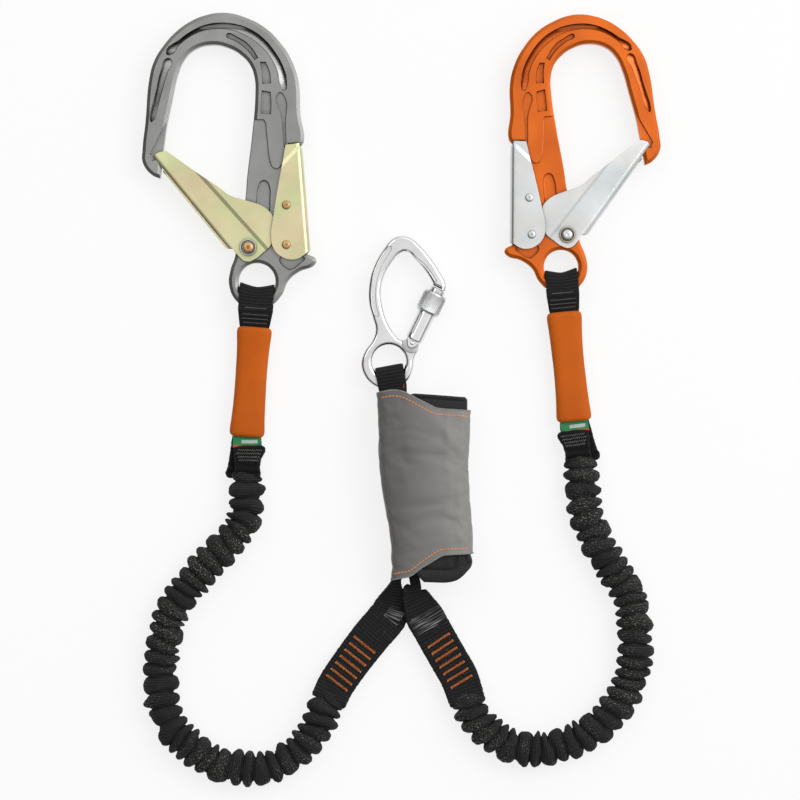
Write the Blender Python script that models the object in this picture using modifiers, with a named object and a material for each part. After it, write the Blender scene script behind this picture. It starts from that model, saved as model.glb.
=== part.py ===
# Energy absorbing Y-lanyard laid flat: two scaffold hooks, two elastic legs, an absorber
# pack and a screw-gate carabiner. Z is up and the lanyard lies on the plane z = 0.
# All named sizes are in millimetres and are turned into metres where a mesh is made.

import math

import bmesh
import bpy
from mathutils import Matrix, Vector

MM = 0.001
GAP = 0.4
SEAT = 0.3
ORIGIN_SHIFT = (-0.53, 0.70)

# Hooks: forged plate body between two folded channels
HOOK_BODY_T = 12.0
HOOK_EDGE_R = 2.4
PLATE_T = 1.5
RIVET_HEAD_T = 0.9
HOOK_MID_Z = HOOK_BODY_T / 2 + 2 * (GAP + PLATE_T) + GAP + RIVET_HEAD_T
GATE_HALF = HOOK_BODY_T / 2 + GAP + PLATE_T
LEVER_HALF = GATE_HALF + GAP + PLATE_T
HOOK_EYE_R = 14.8
HOOK_EYE_RING = 7.4
GATE_PIN_R = 3.2
LEVER_PIN_R = 2.6
PIN_CLEAR = 0.2
GATE_WASHER_R = 6.6
GATE_HEAD_R = 4.6
LEVER_HEAD_R = 3.4
SPRING_WIRE = 1.1
SPRING_TURNS = 1.75
SPRING_PITCH = 1.55
SPRING_LEG = 1.2
WELL_CLEAR = 2.0
WELL_DEPTH = 4.6
SLOT_CLEAR = 0.5
WASHER_T = 1.0
GATE_HEAD_T = 1.6
LEVER_PRESS_DEG = 5.0
LEFT_EYE = (-114.7, 62.7)
RIGHT_EYE = (128.2, 74.2)
LEFT_TURN_DEG = 0.0
RIGHT_TURN_DEG = 3.8
LEFT_HOOK_SCALE = 1.0
RIGHT_HOOK_SCALE = 0.934

# Carabiner
CARA_EYE = (-9.4, -1.3)
CARA_T = 10.5
CARA_EDGE_R = 3.0
CARA_MID_Z = 9.9
CARA_EYE_R = 13.4
CARA_PIVOT = (18.6, 14.9)
CARA_GATE_DIR = (0.4347, 0.9006)
CARA_GATE_R = 7.3
CARA_GATE_LEN = 48.2
CARA_GATE_START = 2.4
CARA_GATE_TIP_R = 6.2
CARA_GATE_TIP_LEN = 4.6
CARA_CHEEK_R = 4.4
CARA_TONGUE_T = 4.6
CARA_PIN_R = 1.6
SLEEVE_R = 9.4
SLEEVE_LEN = 17.0
SLEEVE_REST = 27.0
SLEEVE_RIBS = 26
SLEEVE_RIB_DEPTH = 0.45
SLEEVE_CHAMFER = 1.2

# Webbing
STRAP_T = 1.8
HOOK_STRAP_END_W = 20.0
CARA_STRAP_W = 15.5
CARA_STRAP_SHIFT = 5.5
CARA_LOOP_DROP = 4.0
CARA_RING_W = 8.8
STRAP_CLEAR = 0.6

# Grip sleeves, tags and sewn cuffs below the hooks
GRIP_LEN = 88.0
GRIP_END_W = 27.4
GRIP_WAIST_W = 25.4
GRIP_H = 15.5
GRIP_WALL = 1.2
GRIP_END_ROUND = 1.6
GRIP_MOUTH_SPREAD = 2.4
GRIP_POINTS = 16
CUFF_LEN = 33.0
CUFF_T = 11.0
TAG_LEN = 7.4
TAG_W = 22.0
TAG_T = 0.6

# Elastic legs
ELASTIC_W = 28.0
ELASTIC_FLAT = 0.72
ELASTIC_VALLEY = 0.80
ELASTIC_Z = ELASTIC_W / 2 * ELASTIC_FLAT
ELASTIC_BORE_R = 7.2
CORE_R = 4.2
LEFT_RIBS = 38
RIGHT_RIBS = 35
CORE_POINTS = 20

# Absorber
POUCH_T = 33.0
POUCH_WALL = 1.4
PACK_CLEAR = 0.8
PACK_SLEEVE_T = 1.2
POUCH_PITCHES = 7.86
FOLD_PITCH = POUCH_T / POUCH_PITCHES
FOLD_WEB_T = 2.4
FOLD_COUNT = 5
FOLD_X = 23.5
FOLD_W = 44.0
FOLD_TOP = -38.0
FOLD_BASE = -166.0


def clear_scene():
    for item in list(bpy.data.objects):
        bpy.data.objects.remove(item, do_unlink=True)


def collection(name):
    made = bpy.data.collections.new(name)
    bpy.context.scene.collection.children.link(made)
    return made


clear_scene()
PARTS = collection("energy_absorbing_y_lanyard")
CUTTERS = collection("cutters")


def material(name, colour, roughness, metallic):
    made = bpy.data.materials.new(name)
    made.use_nodes = True
    shader = made.node_tree.nodes["Principled BSDF"]
    shader.inputs["Base Color"].default_value = (*colour, 1.0)
    shader.inputs["Roughness"].default_value = roughness
    shader.inputs["Metallic"].default_value = metallic
    return made


# The layout's own zero is beside the carabiner's eye; this root centres the lanyard
ROOT = bpy.data.objects.new("lanyard_frame", None)
ROOT.location = Vector((*ORIGIN_SHIFT, 0.0)) * MM
PARTS.objects.link(ROOT)

GREY_METAL = material("forged_grey", (0.42, 0.42, 0.42), 0.35, 1.0)
ORANGE_METAL = material("painted_orange", (0.80, 0.17, 0.01), 0.3, 0.2)
GOLD_ZINC = material("yellow_zinc", (0.75, 0.66, 0.42), 0.32, 1.0)
SILVER_ZINC = material("clear_zinc", (0.72, 0.74, 0.75), 0.3, 1.0)
BRASS = material("rivet_brass", (0.62, 0.48, 0.25), 0.35, 1.0)
STEEL = material("polished_steel", (0.80, 0.80, 0.80), 0.15, 1.0)
SPRING_STEEL = material("spring_steel", (0.35, 0.35, 0.36), 0.4, 1.0)
ORANGE_RUBBER = material("orange_rubber", (0.60, 0.14, 0.02), 0.65, 0.0)
BLACK_WEBBING = material("black_webbing", (0.02, 0.02, 0.021), 0.8, 0.0)
ELASTIC_CORE = material("elastic_core", (0.30, 0.28, 0.24), 0.7, 0.0)
GREEN_TAG = material("green_tag", (0.02, 0.28, 0.09), 0.5, 0.0)
GREY_FABRIC = material("grey_fabric", (0.22, 0.21, 0.20), 0.8, 0.0)


def empty(name, place, turn_deg=0.0):
    made = bpy.data.objects.new(name, None)
    made.location = Vector(place) * MM
    made.rotation_euler.z = math.radians(turn_deg)
    made.parent = ROOT
    PARTS.objects.link(made)
    return made


def new_object(name, mesh, look, parent=None, smooth_deg=35.0):
    made = bpy.data.objects.new(name, mesh)
    if look is not None:
        mesh.materials.clear()
        mesh.materials.append(look)
        mesh.shade_smooth()
        mesh.set_sharp_from_angle(angle=math.radians(smooth_deg))
        PARTS.objects.link(made)
    else:
        CUTTERS.objects.link(made)
        made.hide_render = True
        made.display_type = "WIRE"
    made.parent = parent or ROOT
    return made


def curve_mesh(curve):
    """The closed mesh of a curve, with its loose caps welded on."""
    holder = bpy.data.objects.new(curve.name, curve)
    bpy.context.scene.collection.objects.link(holder)
    depsgraph = bpy.context.evaluated_depsgraph_get()
    mesh = bpy.data.meshes.new_from_object(holder.evaluated_get(depsgraph))
    bpy.data.objects.remove(holder, do_unlink=True)
    work = bmesh.new()
    work.from_mesh(mesh)
    bmesh.ops.remove_doubles(work, verts=work.verts, dist=0.000004)
    bmesh.ops.recalc_face_normals(work, faces=work.faces)
    work.to_mesh(mesh)
    work.free()
    return mesh


def add_outline(curve, points, side, scale, resolution):
    """A closed outline; a point that ends in 'c' is a corner, the others are smooth."""
    spline = curve.splines.new("BEZIER")
    spline.bezier_points.add(len(points) - 1)
    spline.use_cyclic_u = True
    spline.resolution_u = resolution
    for knot, point in zip(spline.bezier_points, points):
        kind = "VECTOR" if len(point) == 3 else "AUTO"
        knot.co = (point[0] * side * scale * MM, point[1] * scale * MM, 0.0)
        knot.handle_left_type = kind
        knot.handle_right_type = kind


def plate_mesh(name, outlines, thickness, edge_r=0.0, side=1, scale=1.0, resolution=2,
               edge_steps=0):
    """A flat piece of the given outlines, centred on z = 0, with rounded edges."""
    curve = bpy.data.curves.new(name, "CURVE")
    curve.dimensions = "2D"
    curve.fill_mode = "BOTH"
    curve.extrude = (thickness / 2 - edge_r) * MM
    curve.bevel_depth = edge_r * MM
    curve.bevel_resolution = edge_steps
    curve.offset = -edge_r * MM
    for points in outlines:
        add_outline(curve, points, side, scale, resolution)
    return curve_mesh(curve)


def ring_points(centre, radius, count=12):
    turns = [2 * math.pi * i / count for i in range(count)]
    return [(centre[0] + radius * math.cos(a), centre[1] + radius * math.sin(a)) for a in turns]


def cylinder_mesh(name, radius, z_low, z_high, centre=(0.0, 0.0), sides=16):
    work = bmesh.new()
    bmesh.ops.create_cone(work, cap_ends=True, segments=sides, radius1=radius * MM,
                          radius2=radius * MM, depth=(z_high - z_low) * MM)
    place = Vector((centre[0], centre[1], (z_low + z_high) / 2)) * MM
    bmesh.ops.translate(work, verts=work.verts, vec=place)
    mesh = bpy.data.meshes.new(name)
    work.to_mesh(mesh)
    work.free()
    return mesh


def box_mesh(name, low, high):
    work = bmesh.new()
    bmesh.ops.create_cube(work, size=1.0)
    size = Vector(high) - Vector(low)
    middle = (Vector(high) + Vector(low)) / 2
    bmesh.ops.scale(work, verts=work.verts, vec=size * MM)
    bmesh.ops.translate(work, verts=work.verts, vec=middle * MM)
    mesh = bpy.data.meshes.new(name)
    work.to_mesh(mesh)
    work.free()
    return mesh


def cut(target, mesh, mode="DIFFERENCE", place=(0.0, 0.0, 0.0), turn=None):
    """Cuts the mesh, given in the target's own frame, out of the target."""
    cutter = new_object(f"{target.name}_cut{len(target.modifiers)}", mesh, None, target.parent)
    cutter.location = target.location + Vector(place) * MM
    if turn is not None:
        cutter.rotation_euler = turn
    step = target.modifiers.new("cut", "BOOLEAN")
    step.operation = mode
    step.solver = "EXACT"
    step.object = cutter
    return step


def turned_mesh(name, profile, steps=32):
    """A profile of (radius, height) points, outer side top to bottom, turned about Z."""
    mesh = bpy.data.meshes.new(name)
    points = [(r * MM, 0.0, z * MM) for r, z in profile]
    edges = [(i, i + 1) for i in range(len(points) - 1)]
    mesh.from_pydata(points, edges, [])
    holder = bpy.data.objects.new(name, mesh)
    bpy.context.scene.collection.objects.link(holder)
    screw = holder.modifiers.new("turn", "SCREW")
    screw.steps = steps
    screw.render_steps = steps
    screw.use_merge_vertices = True
    screw.merge_threshold = 0.00001
    depsgraph = bpy.context.evaluated_depsgraph_get()
    made = bpy.data.meshes.new_from_object(holder.evaluated_get(depsgraph))
    bpy.data.objects.remove(holder, do_unlink=True)
    work = bmesh.new()
    work.from_mesh(made)
    bmesh.ops.remove_doubles(work, verts=work.verts, dist=0.000001)
    bmesh.ops.recalc_face_normals(work, faces=work.faces)
    work.to_mesh(made)
    work.free()
    return made


def tube_mesh(name, points, radius, sides_resolution=2, radii=None, closed=False):
    """A round tube along points, with a cap on each end."""
    curve = bpy.data.curves.new(name, "CURVE")
    curve.dimensions = "3D"
    curve.bevel_depth = radius * MM
    curve.bevel_resolution = sides_resolution
    curve.use_fill_caps = True
    curve.twist_mode = "Z_UP"
    spline = curve.splines.new("POLY")
    spline.points.add(len(points) - 1)
    spline.use_cyclic_u = closed
    for index, point in enumerate(points):
        spline.points[index].co = (*(Vector(point) * MM), 1.0)
        spline.points[index].radius = 1.0 if radii is None else radii[index]
    return curve_mesh(curve)


def smooth_route(points, count):
    """Evenly spaced points on a smooth curve through the given points."""
    dense = []
    padded = [points[0], *points, points[-1]]
    for index in range(len(points) - 1):
        p0, p1, p2, p3 = [Vector(padded[index + k]) for k in range(4)]
        for step in range(24):
            t = step / 24
            dense.append(0.5 * (2 * p1 + (p2 - p0) * t + (2 * p0 - 5 * p1 + 4 * p2 - p3) * t * t
                                + (3 * p1 - p0 - 3 * p2 + p3) * t ** 3))
    dense.append(Vector(points[-1]))
    reach = [0.0]
    for index in range(1, len(dense)):
        reach.append(reach[-1] + (dense[index] - dense[index - 1]).length)
    even = []
    cursor = 0
    for index in range(count):
        goal = reach[-1] * index / (count - 1)
        while cursor < len(reach) - 2 and reach[cursor + 1] < goal:
            cursor += 1
        span = reach[cursor + 1] - reach[cursor]
        share = (goal - reach[cursor]) / span
        even.append(dense[cursor].lerp(dense[cursor + 1], min(1.0, share)))
    return even, reach[-1]


def ribbon_object(name, path, thickness, look, parent=None):
    """A strap: path holds (centre point, side vector, width) for each cross row."""
    mesh = bpy.data.meshes.new(name)
    work = bmesh.new()
    rows = []
    for centre, side, width in path:
        middle = Vector(centre)
        half = Vector(side).normalized() * width / 2
        rows.append([work.verts.new((middle - half) * MM), work.verts.new((middle + half) * MM)])
    for first, second in zip(rows, rows[1:]):
        work.faces.new((first[0], first[1], second[1], second[0]))
    work.to_mesh(mesh)
    work.free()
    made = new_object(name, mesh, look, parent)
    shell = made.modifiers.new("thickness", "SOLIDIFY")
    shell.thickness = thickness * MM
    shell.offset = 0.0
    shell.use_even_offset = True
    return made


# Hook outlines, from the centre of the eye; a third entry marks a corner
HOOK_OUTLINE = [
    (-77.4, 82.2, "c"), (-84.4, 85.5), (-91.2, 95.0), (-91.4, 105.0), (-89.0, 127.4),
    (-85.9, 162.1), (-82.4, 175.3), (-75.2, 187.5), (-64.0, 199.8), (-50.7, 208.5),
    (-30.3, 214.6), (-9.9, 210.0), (5.4, 202.8), (18.6, 190.6), (27.8, 176.3),
    (33.0, 160.0), (34.5, 133.4), (37.2, 112.0), (35.2, 108.6, "c"), (26.6, 108.0, "c"),
    (27.6, 92.0), (30.6, 62.0), (35.8, 27.5), (39.8, 22.2), (47.2, 17.4), (45.6, 13.2),
    (33.9, 8.2), (24.8, 0.6), (19.4, -11.0), (9.0, -20.4), (-5.0, -22.2), (-16.4, -15.6),
    (-22.2, -3.0), (-21.0, 9.6), (-17.6, 19.4), (-16.4, 27.5), (-15.0, 36.0), (-11.4, 53.3),
    (-9.0, 68.0), (-7.9, 82.4), (-3.8, 117.1), (-1.3, 148.7), (-1.8, 162.1), (-5.4, 172.8),
    (-12.0, 180.4), (-22.2, 186.5), (-36.0, 189.2), (-50.7, 185.0), (-58.9, 176.3),
    (-63.5, 165.0), (-68.2, 143.7), (-72.6, 122.2), (-74.7, 105.9),
]
GROOVE_OUTLINE = [
    (-72.6, 182.0), (-61.0, 193.7), (-50.7, 200.8), (-40.6, 205.0), (-29.3, 206.6),
    (-15.0, 205.0), (-3.8, 200.6), (6.4, 193.0), (15.6, 181.6), (21.0, 171.6), (24.0, 160.0),
    (21.9, 152.0), (18.6, 156.0), (15.8, 168.2), (9.6, 180.2), (0.3, 190.0), (-12.0, 197.6),
    (-24.2, 201.0), (-36.5, 201.0), (-48.7, 197.6), (-61.0, 189.4), (-69.4, 180.4),
]
NOSE_GROOVE = [(-70.4, 177.6), (-75.6, 168.0), (-79.6, 152.0), (-84.6, 128.4),
               (-82.8, 127.6), (-76.6, 150.0), (-72.4, 166.0), (-67.8, 176.0)]
WINDOW_POCKETS = [
    [(-24.2, 196.8), (-12.0, 193.6), (-1.5, 184.0), (0.8, 178.2), (-3.4, 180.6), (-12.6, 188.0)],
    [(3.0, 175.0), (7.2, 174.0), (10.6, 164.0), (10.8, 158.2), (3.6, 158.2)],
    [(3.4, 151.6), (10.6, 151.6), (12.2, 142.0), (12.0, 134.0), (4.0, 134.0)],
]
TEXT_PANEL = [(4.6, 127.6, "c"), (13.8, 127.6, "c"), (16.4, 98.0, "c"), (13.4, 92.6, "c"),
              (8.6, 96.0, "c"), (2.8, 118.0, "c")]
SLOT_POCKET = [(1.6, 80.0), (6.0, 80.0), (9.6, 74.0), (10.6, 60.0), (9.4, 52.4), (5.4, 52.4),
               (2.6, 60.0)]
LOBE_POCKET = [(26.4, 13.8), (34.0, 18.2), (39.4, 16.6), (31.0, 11.2)]
POCKET_DEPTH = 2.6
PANEL_DEPTH = 0.9

GATE_PIVOT = (-6.9, 27.0)
LEVER_PIVOT = (23.5, 29.1)
LATCH_PIN = (23.5, 60.7)
GATE_OUTLINE = [
    (-83.4, 98.5, "c"), (-79.8, 102.1), (-72.2, 104.1, "c"), (-48.7, 87.3, "c"),
    (-30.3, 75.0, "c"), (-22.2, 68.9), (-9.9, 64.8), (6.4, 58.7), (13.0, 51.0), (13.2, 40.0),
    (11.5, 29.6), (4.4, 22.5), (-1.8, 17.6), (-8.4, 15.8), (-15.0, 20.5), (-19.6, 26.4, "c"),
    (-25.8, 27.6, "c"), (-77.6, 90.6, "c"),
]
GATE_WEB_TOP = (-76.8, 89.4)
GATE_WEB_END = (-25.8, 27.6)
GATE_BEND_R = 4.2
NOSE_NOTCH = [(-75.4, 84.0, "c"), (-73.2, 108.0, "c"), (-96.0, 108.0, "c"), (-96.0, 84.0, "c")]
LEVER_OUTLINE = [
    (22.7, 106.4, "c"), (35.4, 107.0, "c"), (36.4, 102.1), (38.6, 72.5), (42.1, 26.0, "c"),
    (38.4, 21.6), (33.6, 18.4), (27.8, 17.3), (20.6, 19.2), (13.8, 25.5), (11.5, 35.7),
    (13.4, 52.1), (16.6, 72.5), (19.7, 89.8),
]
LEVER_WEB = [(35.4, 107.0), (36.6, 100.0), (38.6, 72.5), (42.1, 26.0)]
LEVER_BEND_R = 3.0


def bend_edges(work, line, half, radius, side, scale):
    """Rounds the two long edges of a channel's closed side that run along line."""
    picked = []
    spots = [Vector((x * side * scale, y * scale)) * MM for x, y in line]
    for edge in work.edges:
        ends = [v.co for v in edge.verts]
        if abs(ends[0].z - ends[1].z) > 1e-6 or abs(abs(ends[0].z) - half * MM) > 1e-6:
            continue
        near = 0
        for end in ends:
            for a, b in zip(spots, spots[1:]):
                along = (b - a).normalized()
                offset = end.xy - a
                reach = offset.dot(along)
                away = (offset - along * reach).length
                if away < 0.0002 and -0.0006 < reach < (b - a).length + 0.0006:
                    near += 1
                    break
        if near == 2:
            picked.append(edge)
    bmesh.ops.bevel(work, geom=picked, offset=radius * MM, offset_type="OFFSET", segments=2,
                    profile=0.5, affect="EDGES", clamp_overlap=True)


def channel_mesh(name, outline, line, half, radius, side, scale):
    """A solid with the channel's outer shape, its closed side rounded."""
    mesh = plate_mesh(name, [outline], 2 * half, 0.0, side, scale, 2)
    work = bmesh.new()
    work.from_mesh(mesh)
    bmesh.ops.dissolve_limit(work, angle_limit=0.01, verts=work.verts, edges=work.edges,
                             use_dissolve_boundaries=False)
    bend_edges(work, line, half, radius, side, scale)
    bmesh.ops.triangulate(work, faces=[f for f in work.faces if len(f.verts) > 4])
    work.to_mesh(mesh)
    work.free()
    return mesh


def shift_mesh(mesh, offset):
    mesh.transform(Matrix.Translation(Vector((*offset, 0.0)) * MM))
    return mesh


def rivet_profile(shank_r, head_r, half, head_t):
    """A rivet about z = 0: a domed head on each end of its shank."""
    return [(0.0, half + head_t), (head_r * 0.7, half + head_t * 0.85), (head_r, half),
            (shank_r, half), (shank_r, -half), (head_r, -half),
            (head_r * 0.7, -half - head_t * 0.85), (0.0, -half - head_t)]


def coil_points(radius, z_start):
    """A torsion spring's coil with a straight leg on each end."""
    count = int(SPRING_TURNS * 8)
    points = [(radius, -SPRING_LEG, z_start)]
    for index in range(count + 1):
        angle = 2 * math.pi * SPRING_TURNS * index / count
        climb = SPRING_PITCH * SPRING_TURNS * index / count
        points.append((radius * math.cos(angle), radius * math.sin(angle), z_start + climb))
    last = Vector(points[-1])
    onward = Vector((-math.sin(angle), math.cos(angle), 0.0))
    points.append(tuple(last + onward * SPRING_LEG))
    return points


def least_coil_gap(name, wire, pitch):
    print(f"{name}: least gap between turns {pitch - wire:.2f} mm")


def make_hook(tag, eye, turn, side, scale, body_look, channel_look):
    frame = empty(f"{tag}_hook_frame", (*eye, HOOK_MID_Z), turn)

    def spot(point):
        return (point[0] * side * scale, point[1] * scale)

    body_t = HOOK_BODY_T
    body = new_object(f"{tag}_hook_body", plate_mesh(
        "hook_body", [HOOK_OUTLINE, ring_points((0.0, 0.0), HOOK_EYE_R)], body_t, HOOK_EDGE_R,
        side, scale), body_look, frame)
    for pocket, depth in [(GROOVE_OUTLINE, POCKET_DEPTH), (NOSE_GROOVE, POCKET_DEPTH),
                          *[(p, POCKET_DEPTH) for p in WINDOW_POCKETS],
                          (TEXT_PANEL, PANEL_DEPTH), (SLOT_POCKET, POCKET_DEPTH),
                          (LOBE_POCKET, PANEL_DEPTH)]:
        for face in (1, -1):
            mesh = plate_mesh("pocket", [pocket], 2 * depth, 0.0, side, scale, 1)
            cut(body, mesh, place=(0.0, 0.0, face * body_t / 2))
    gate_at = spot(GATE_PIVOT)
    lever_at = spot(LEVER_PIVOT)
    latch_at = spot(LATCH_PIN)
    cut(body, cylinder_mesh("bore", GATE_PIN_R * scale + PIN_CLEAR, -body_t, body_t, gate_at))
    cut(body, cylinder_mesh("bore", LEVER_PIN_R * scale + PIN_CLEAR, -body_t, body_t, lever_at))
    spring_well_r = (GATE_PIN_R + SPRING_WIRE) * scale + WELL_CLEAR
    well_depth = WELL_DEPTH
    cut(body, cylinder_mesh("well", spring_well_r, body_t / 2 - well_depth, body_t, gate_at))
    lever_well_r = (LEVER_PIN_R + SPRING_WIRE) * scale + WELL_CLEAR
    cut(body, cylinder_mesh("well", lever_well_r, body_t / 2 - well_depth, body_t, lever_at))
    arm = (Vector(latch_at) - Vector(lever_at)).length
    travel = arm * math.radians(LEVER_PRESS_DEG)
    reach = LEVER_PIN_R * scale + SLOT_CLEAR
    slot_low = min(0.0, -side * travel) - reach
    slot_high = max(0.0, -side * travel) + reach
    slot = box_mesh("slot", (latch_at[0] + slot_low, latch_at[1] - reach, -body_t),
                    (latch_at[0] + slot_high, latch_at[1] + reach, body_t))
    cut(body, slot)

    make_channel(f"{tag}_gate", frame, GATE_OUTLINE, [GATE_WEB_TOP, GATE_WEB_END], GATE_HALF,
                 GATE_BEND_R, GATE_PIVOT, side, scale, channel_look,
                 [(GATE_PIVOT, GATE_PIN_R * scale + PIN_CLEAR)], NOSE_NOTCH)
    make_channel(f"{tag}_lock_lever", frame, LEVER_OUTLINE, LEVER_WEB, LEVER_HALF,
                 LEVER_BEND_R, LEVER_PIVOT, side, scale, channel_look,
                 [(LEVER_PIVOT, LEVER_PIN_R * scale + PIN_CLEAR),
                  (LATCH_PIN, LEVER_PIN_R * scale + PIN_CLEAR)])

    rivet_look = BRASS if side > 0 else SILVER_ZINC
    rivets = [("gate_rivet", gate_at, GATE_PIN_R, GATE_HEAD_R, GATE_HALF + WASHER_T + 2 * SEAT,
                GATE_HEAD_T),
              ("lever_rivet", lever_at, LEVER_PIN_R, LEVER_HEAD_R, LEVER_HALF + SEAT,
               RIVET_HEAD_T),
              ("latch_rivet", latch_at, LEVER_PIN_R, LEVER_HEAD_R, LEVER_HALF + SEAT,
               RIVET_HEAD_T)]
    for name, place, shank, head, half, head_t in rivets:
        profile = rivet_profile(shank * scale, head * scale, half, head_t)
        rivet = new_object(f"{tag}_{name}", turned_mesh(name, profile, 12), BRASS, frame)
        rivet.location = Vector((*place, 0.0)) * MM
    for face, name in ((1, "upper"), (-1, "lower")):
        base = GATE_HALF + SEAT
        top = base + WASHER_T
        rim = GATE_WASHER_R * scale
        hole = GATE_PIN_R * scale + PIN_CLEAR
        ring = [(rim, top), (rim, base), (hole, base), (hole, top), (rim, top)]
        washer = new_object(f"{tag}_gate_washer_{name}",
                            turned_mesh("washer", ring, 16), rivet_look, frame)
        washer.location = Vector((*gate_at, 0.0 if face > 0 else -base - top)) * MM
    floor = body_t / 2 - well_depth
    for name, place, pin in (("gate_spring", gate_at, GATE_PIN_R),
                             ("lever_spring", lever_at, LEVER_PIN_R)):
        radius = pin * scale + SPRING_WIRE / 2 + 0.7
        route = coil_points(radius, floor + SPRING_WIRE / 2 + SEAT)
        coil = new_object(f"{tag}_{name}", tube_mesh(name, route, SPRING_WIRE / 2, 1),
                          SPRING_STEEL, frame)
        coil.location = Vector((*place, 0.0)) * MM
        least_coil_gap(f"{tag}_{name}", SPRING_WIRE, SPRING_PITCH)
    return frame


def make_channel(name, frame, outline, line, half, bend_r, pivot, side, scale, look, holes,
                 notch=None):
    """A folded sheet channel, open away from line, hinged at pivot."""
    at = (-pivot[0] * side * scale, -pivot[1] * scale)
    outer = channel_mesh(name, outline, line, half, bend_r, side, scale)
    made = new_object(name, shift_mesh(outer, at), look, frame)
    made.location = Vector((pivot[0] * side * scale, pivot[1] * scale, 0.0)) * MM
    first = Vector(line[0])
    last = Vector(line[-1])
    run = (last - first).normalized()
    inward = Vector((-run.y, run.x))
    centre = Vector((outline[len(outline) // 2][0], outline[len(outline) // 2][1]))
    if (centre - first).dot(inward) < 0:
        inward = -inward
    reach = 140.0
    near = [Vector(p) + inward * PLATE_T / scale for p in line]
    ahead = first - run * 60.0
    past = last + run * 60.0
    hollow = [(ahead.x, ahead.y, "c")]
    hollow += [(p.x, p.y, "c") for p in near]
    hollow += [(past.x, past.y, "c")]
    for corner in (past + inward * reach, ahead + inward * reach):
        hollow.append((corner.x, corner.y, "c"))
    inner_half = half - PLATE_T
    mesh = channel_mesh("hollow", hollow, [(p.x, p.y) for p in near], inner_half,
                        max(0.6, bend_r - PLATE_T), side, scale)
    cut(made, shift_mesh(mesh, at))
    if notch is not None:
        mesh = plate_mesh("notch", [notch], 2 * inner_half, 0.0, side, scale, 1)
        cut(made, shift_mesh(mesh, at))
    for centre, radius in holes:
        place = (centre[0] * side * scale + at[0], centre[1] * scale + at[1])
        cut(made, cylinder_mesh("bore", radius, -2 * half, 2 * half, place))
    return made


def loft_mesh(name, rings, closed=False):
    """Quads between rings of equal length; closed also joins the last ring to the first."""
    work = bmesh.new()
    rows = [[work.verts.new(Vector(p) * MM) for p in ring] for ring in rings]
    pairs = list(zip(rows, rows[1:]))
    if closed:
        pairs.append((rows[-1], rows[0]))
    for first, second in pairs:
        count = len(first)
        for i in range(count):
            j = (i + 1) % count
            work.faces.new((first[i], second[i], second[j], first[j]))
    bmesh.ops.recalc_face_normals(work, faces=work.faces)
    mesh = bpy.data.meshes.new(name)
    work.to_mesh(mesh)
    work.free()
    return mesh


def section(half_w, half_h, count, power):
    """A rounded rectangle between an ellipse (power 2) and a box (a high power)."""
    points = []
    for index in range(count):
        angle = 2 * math.pi * (index + 0.5) / count
        c = math.cos(angle)
        s = math.sin(angle)
        points.append((half_w * math.copysign(abs(c) ** (2 / power), c),
                       half_h * math.copysign(abs(s) ** (2 / power), s)))
    return points


def level(table, at):
    """A value read from (place, value) pairs, smooth between them."""
    if at <= table[0][0]:
        return table[0][1]
    for (x0, y0), (x1, y1) in zip(table, table[1:]):
        if at <= x1:
            share = (at - x0) / (x1 - x0)
            return y0 + (y1 - y0) * share
    return table[-1][1]


make_hook("left", LEFT_EYE, LEFT_TURN_DEG, 1, LEFT_HOOK_SCALE, GREY_METAL, GOLD_ZINC)
make_hook("right", RIGHT_EYE, RIGHT_TURN_DEG, -1, RIGHT_HOOK_SCALE, ORANGE_METAL, SILVER_ZINC)

# Carabiner, from the centre of its eye
CARA_OUTLINE = [
    (45.0, 56.4, "c"), (45.8, 61.0), (40.7, 72.0), (33.0, 83.3), (25.1, 92.8), (17.4, 98.9),
    (9.5, 100.6), (2.6, 98.1), (-4.3, 90.2), (-12.2, 76.3), (-16.1, 60.7), (-16.1, 46.9),
    (-13.0, 34.7), (-10.9, 26.1), (-13.0, 17.5), (-19.1, 8.6), (-22.2, -0.9), (-20.5, -9.5),
    (-14.5, -17.5), (-4.5, -22.2), (5.5, -21.8), (14.0, -16.4), (18.8, -7.5), (20.2, 2.0),
    (23.4, 10.2), (23.2, 16.4), (19.6, 19.6), (15.0, 18.6), (10.0, 17.4), (4.3, 22.6),
    (-1.8, 33.0), (-5.2, 45.1), (-6.3, 57.3), (-3.4, 69.5), (2.6, 79.6), (8.5, 86.2),
    (14.0, 87.6), (21.7, 80.8), (30.3, 70.6), (35.7, 61.1, "c"),
]
CARA_RECESS = [(-12.8, 61.0), (-12.4, 48.0), (-9.8, 37.0), (-7.6, 40.0), (-8.8, 50.0), (-9.6, 62.0)]
CARA_RECESS_DEPTH = 0.7
CARA_HINGE_R = 8.4
GROOVE_SIDE = -3.4
GROOVE_W = 2.2
PLUNGER_R = 2.2
PLUNGER_LEN = 6.0
GATE_BORE_R = 2.6
GATE_BORE_END = 26.0


def along_gate(mesh):
    """Turns a mesh built up the Z axis so that it runs along the carabiner's gate."""
    angle = math.atan2(CARA_GATE_DIR[1], CARA_GATE_DIR[0])
    lie = Matrix.Rotation(angle, 4, "Z") @ Matrix.Rotation(math.pi / 2, 4, "Y")
    mesh.transform(lie)
    return mesh


def gate_box(name, along, across, heights):
    """A box along the gate; across is positive on the outer side of the carabiner."""
    mesh = box_mesh(name, (along[0], -across[1], heights[0]), (along[1], -across[0], heights[1]))
    angle = math.atan2(CARA_GATE_DIR[1], CARA_GATE_DIR[0])
    mesh.transform(Matrix.Rotation(angle, 4, "Z"))
    return mesh


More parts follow.
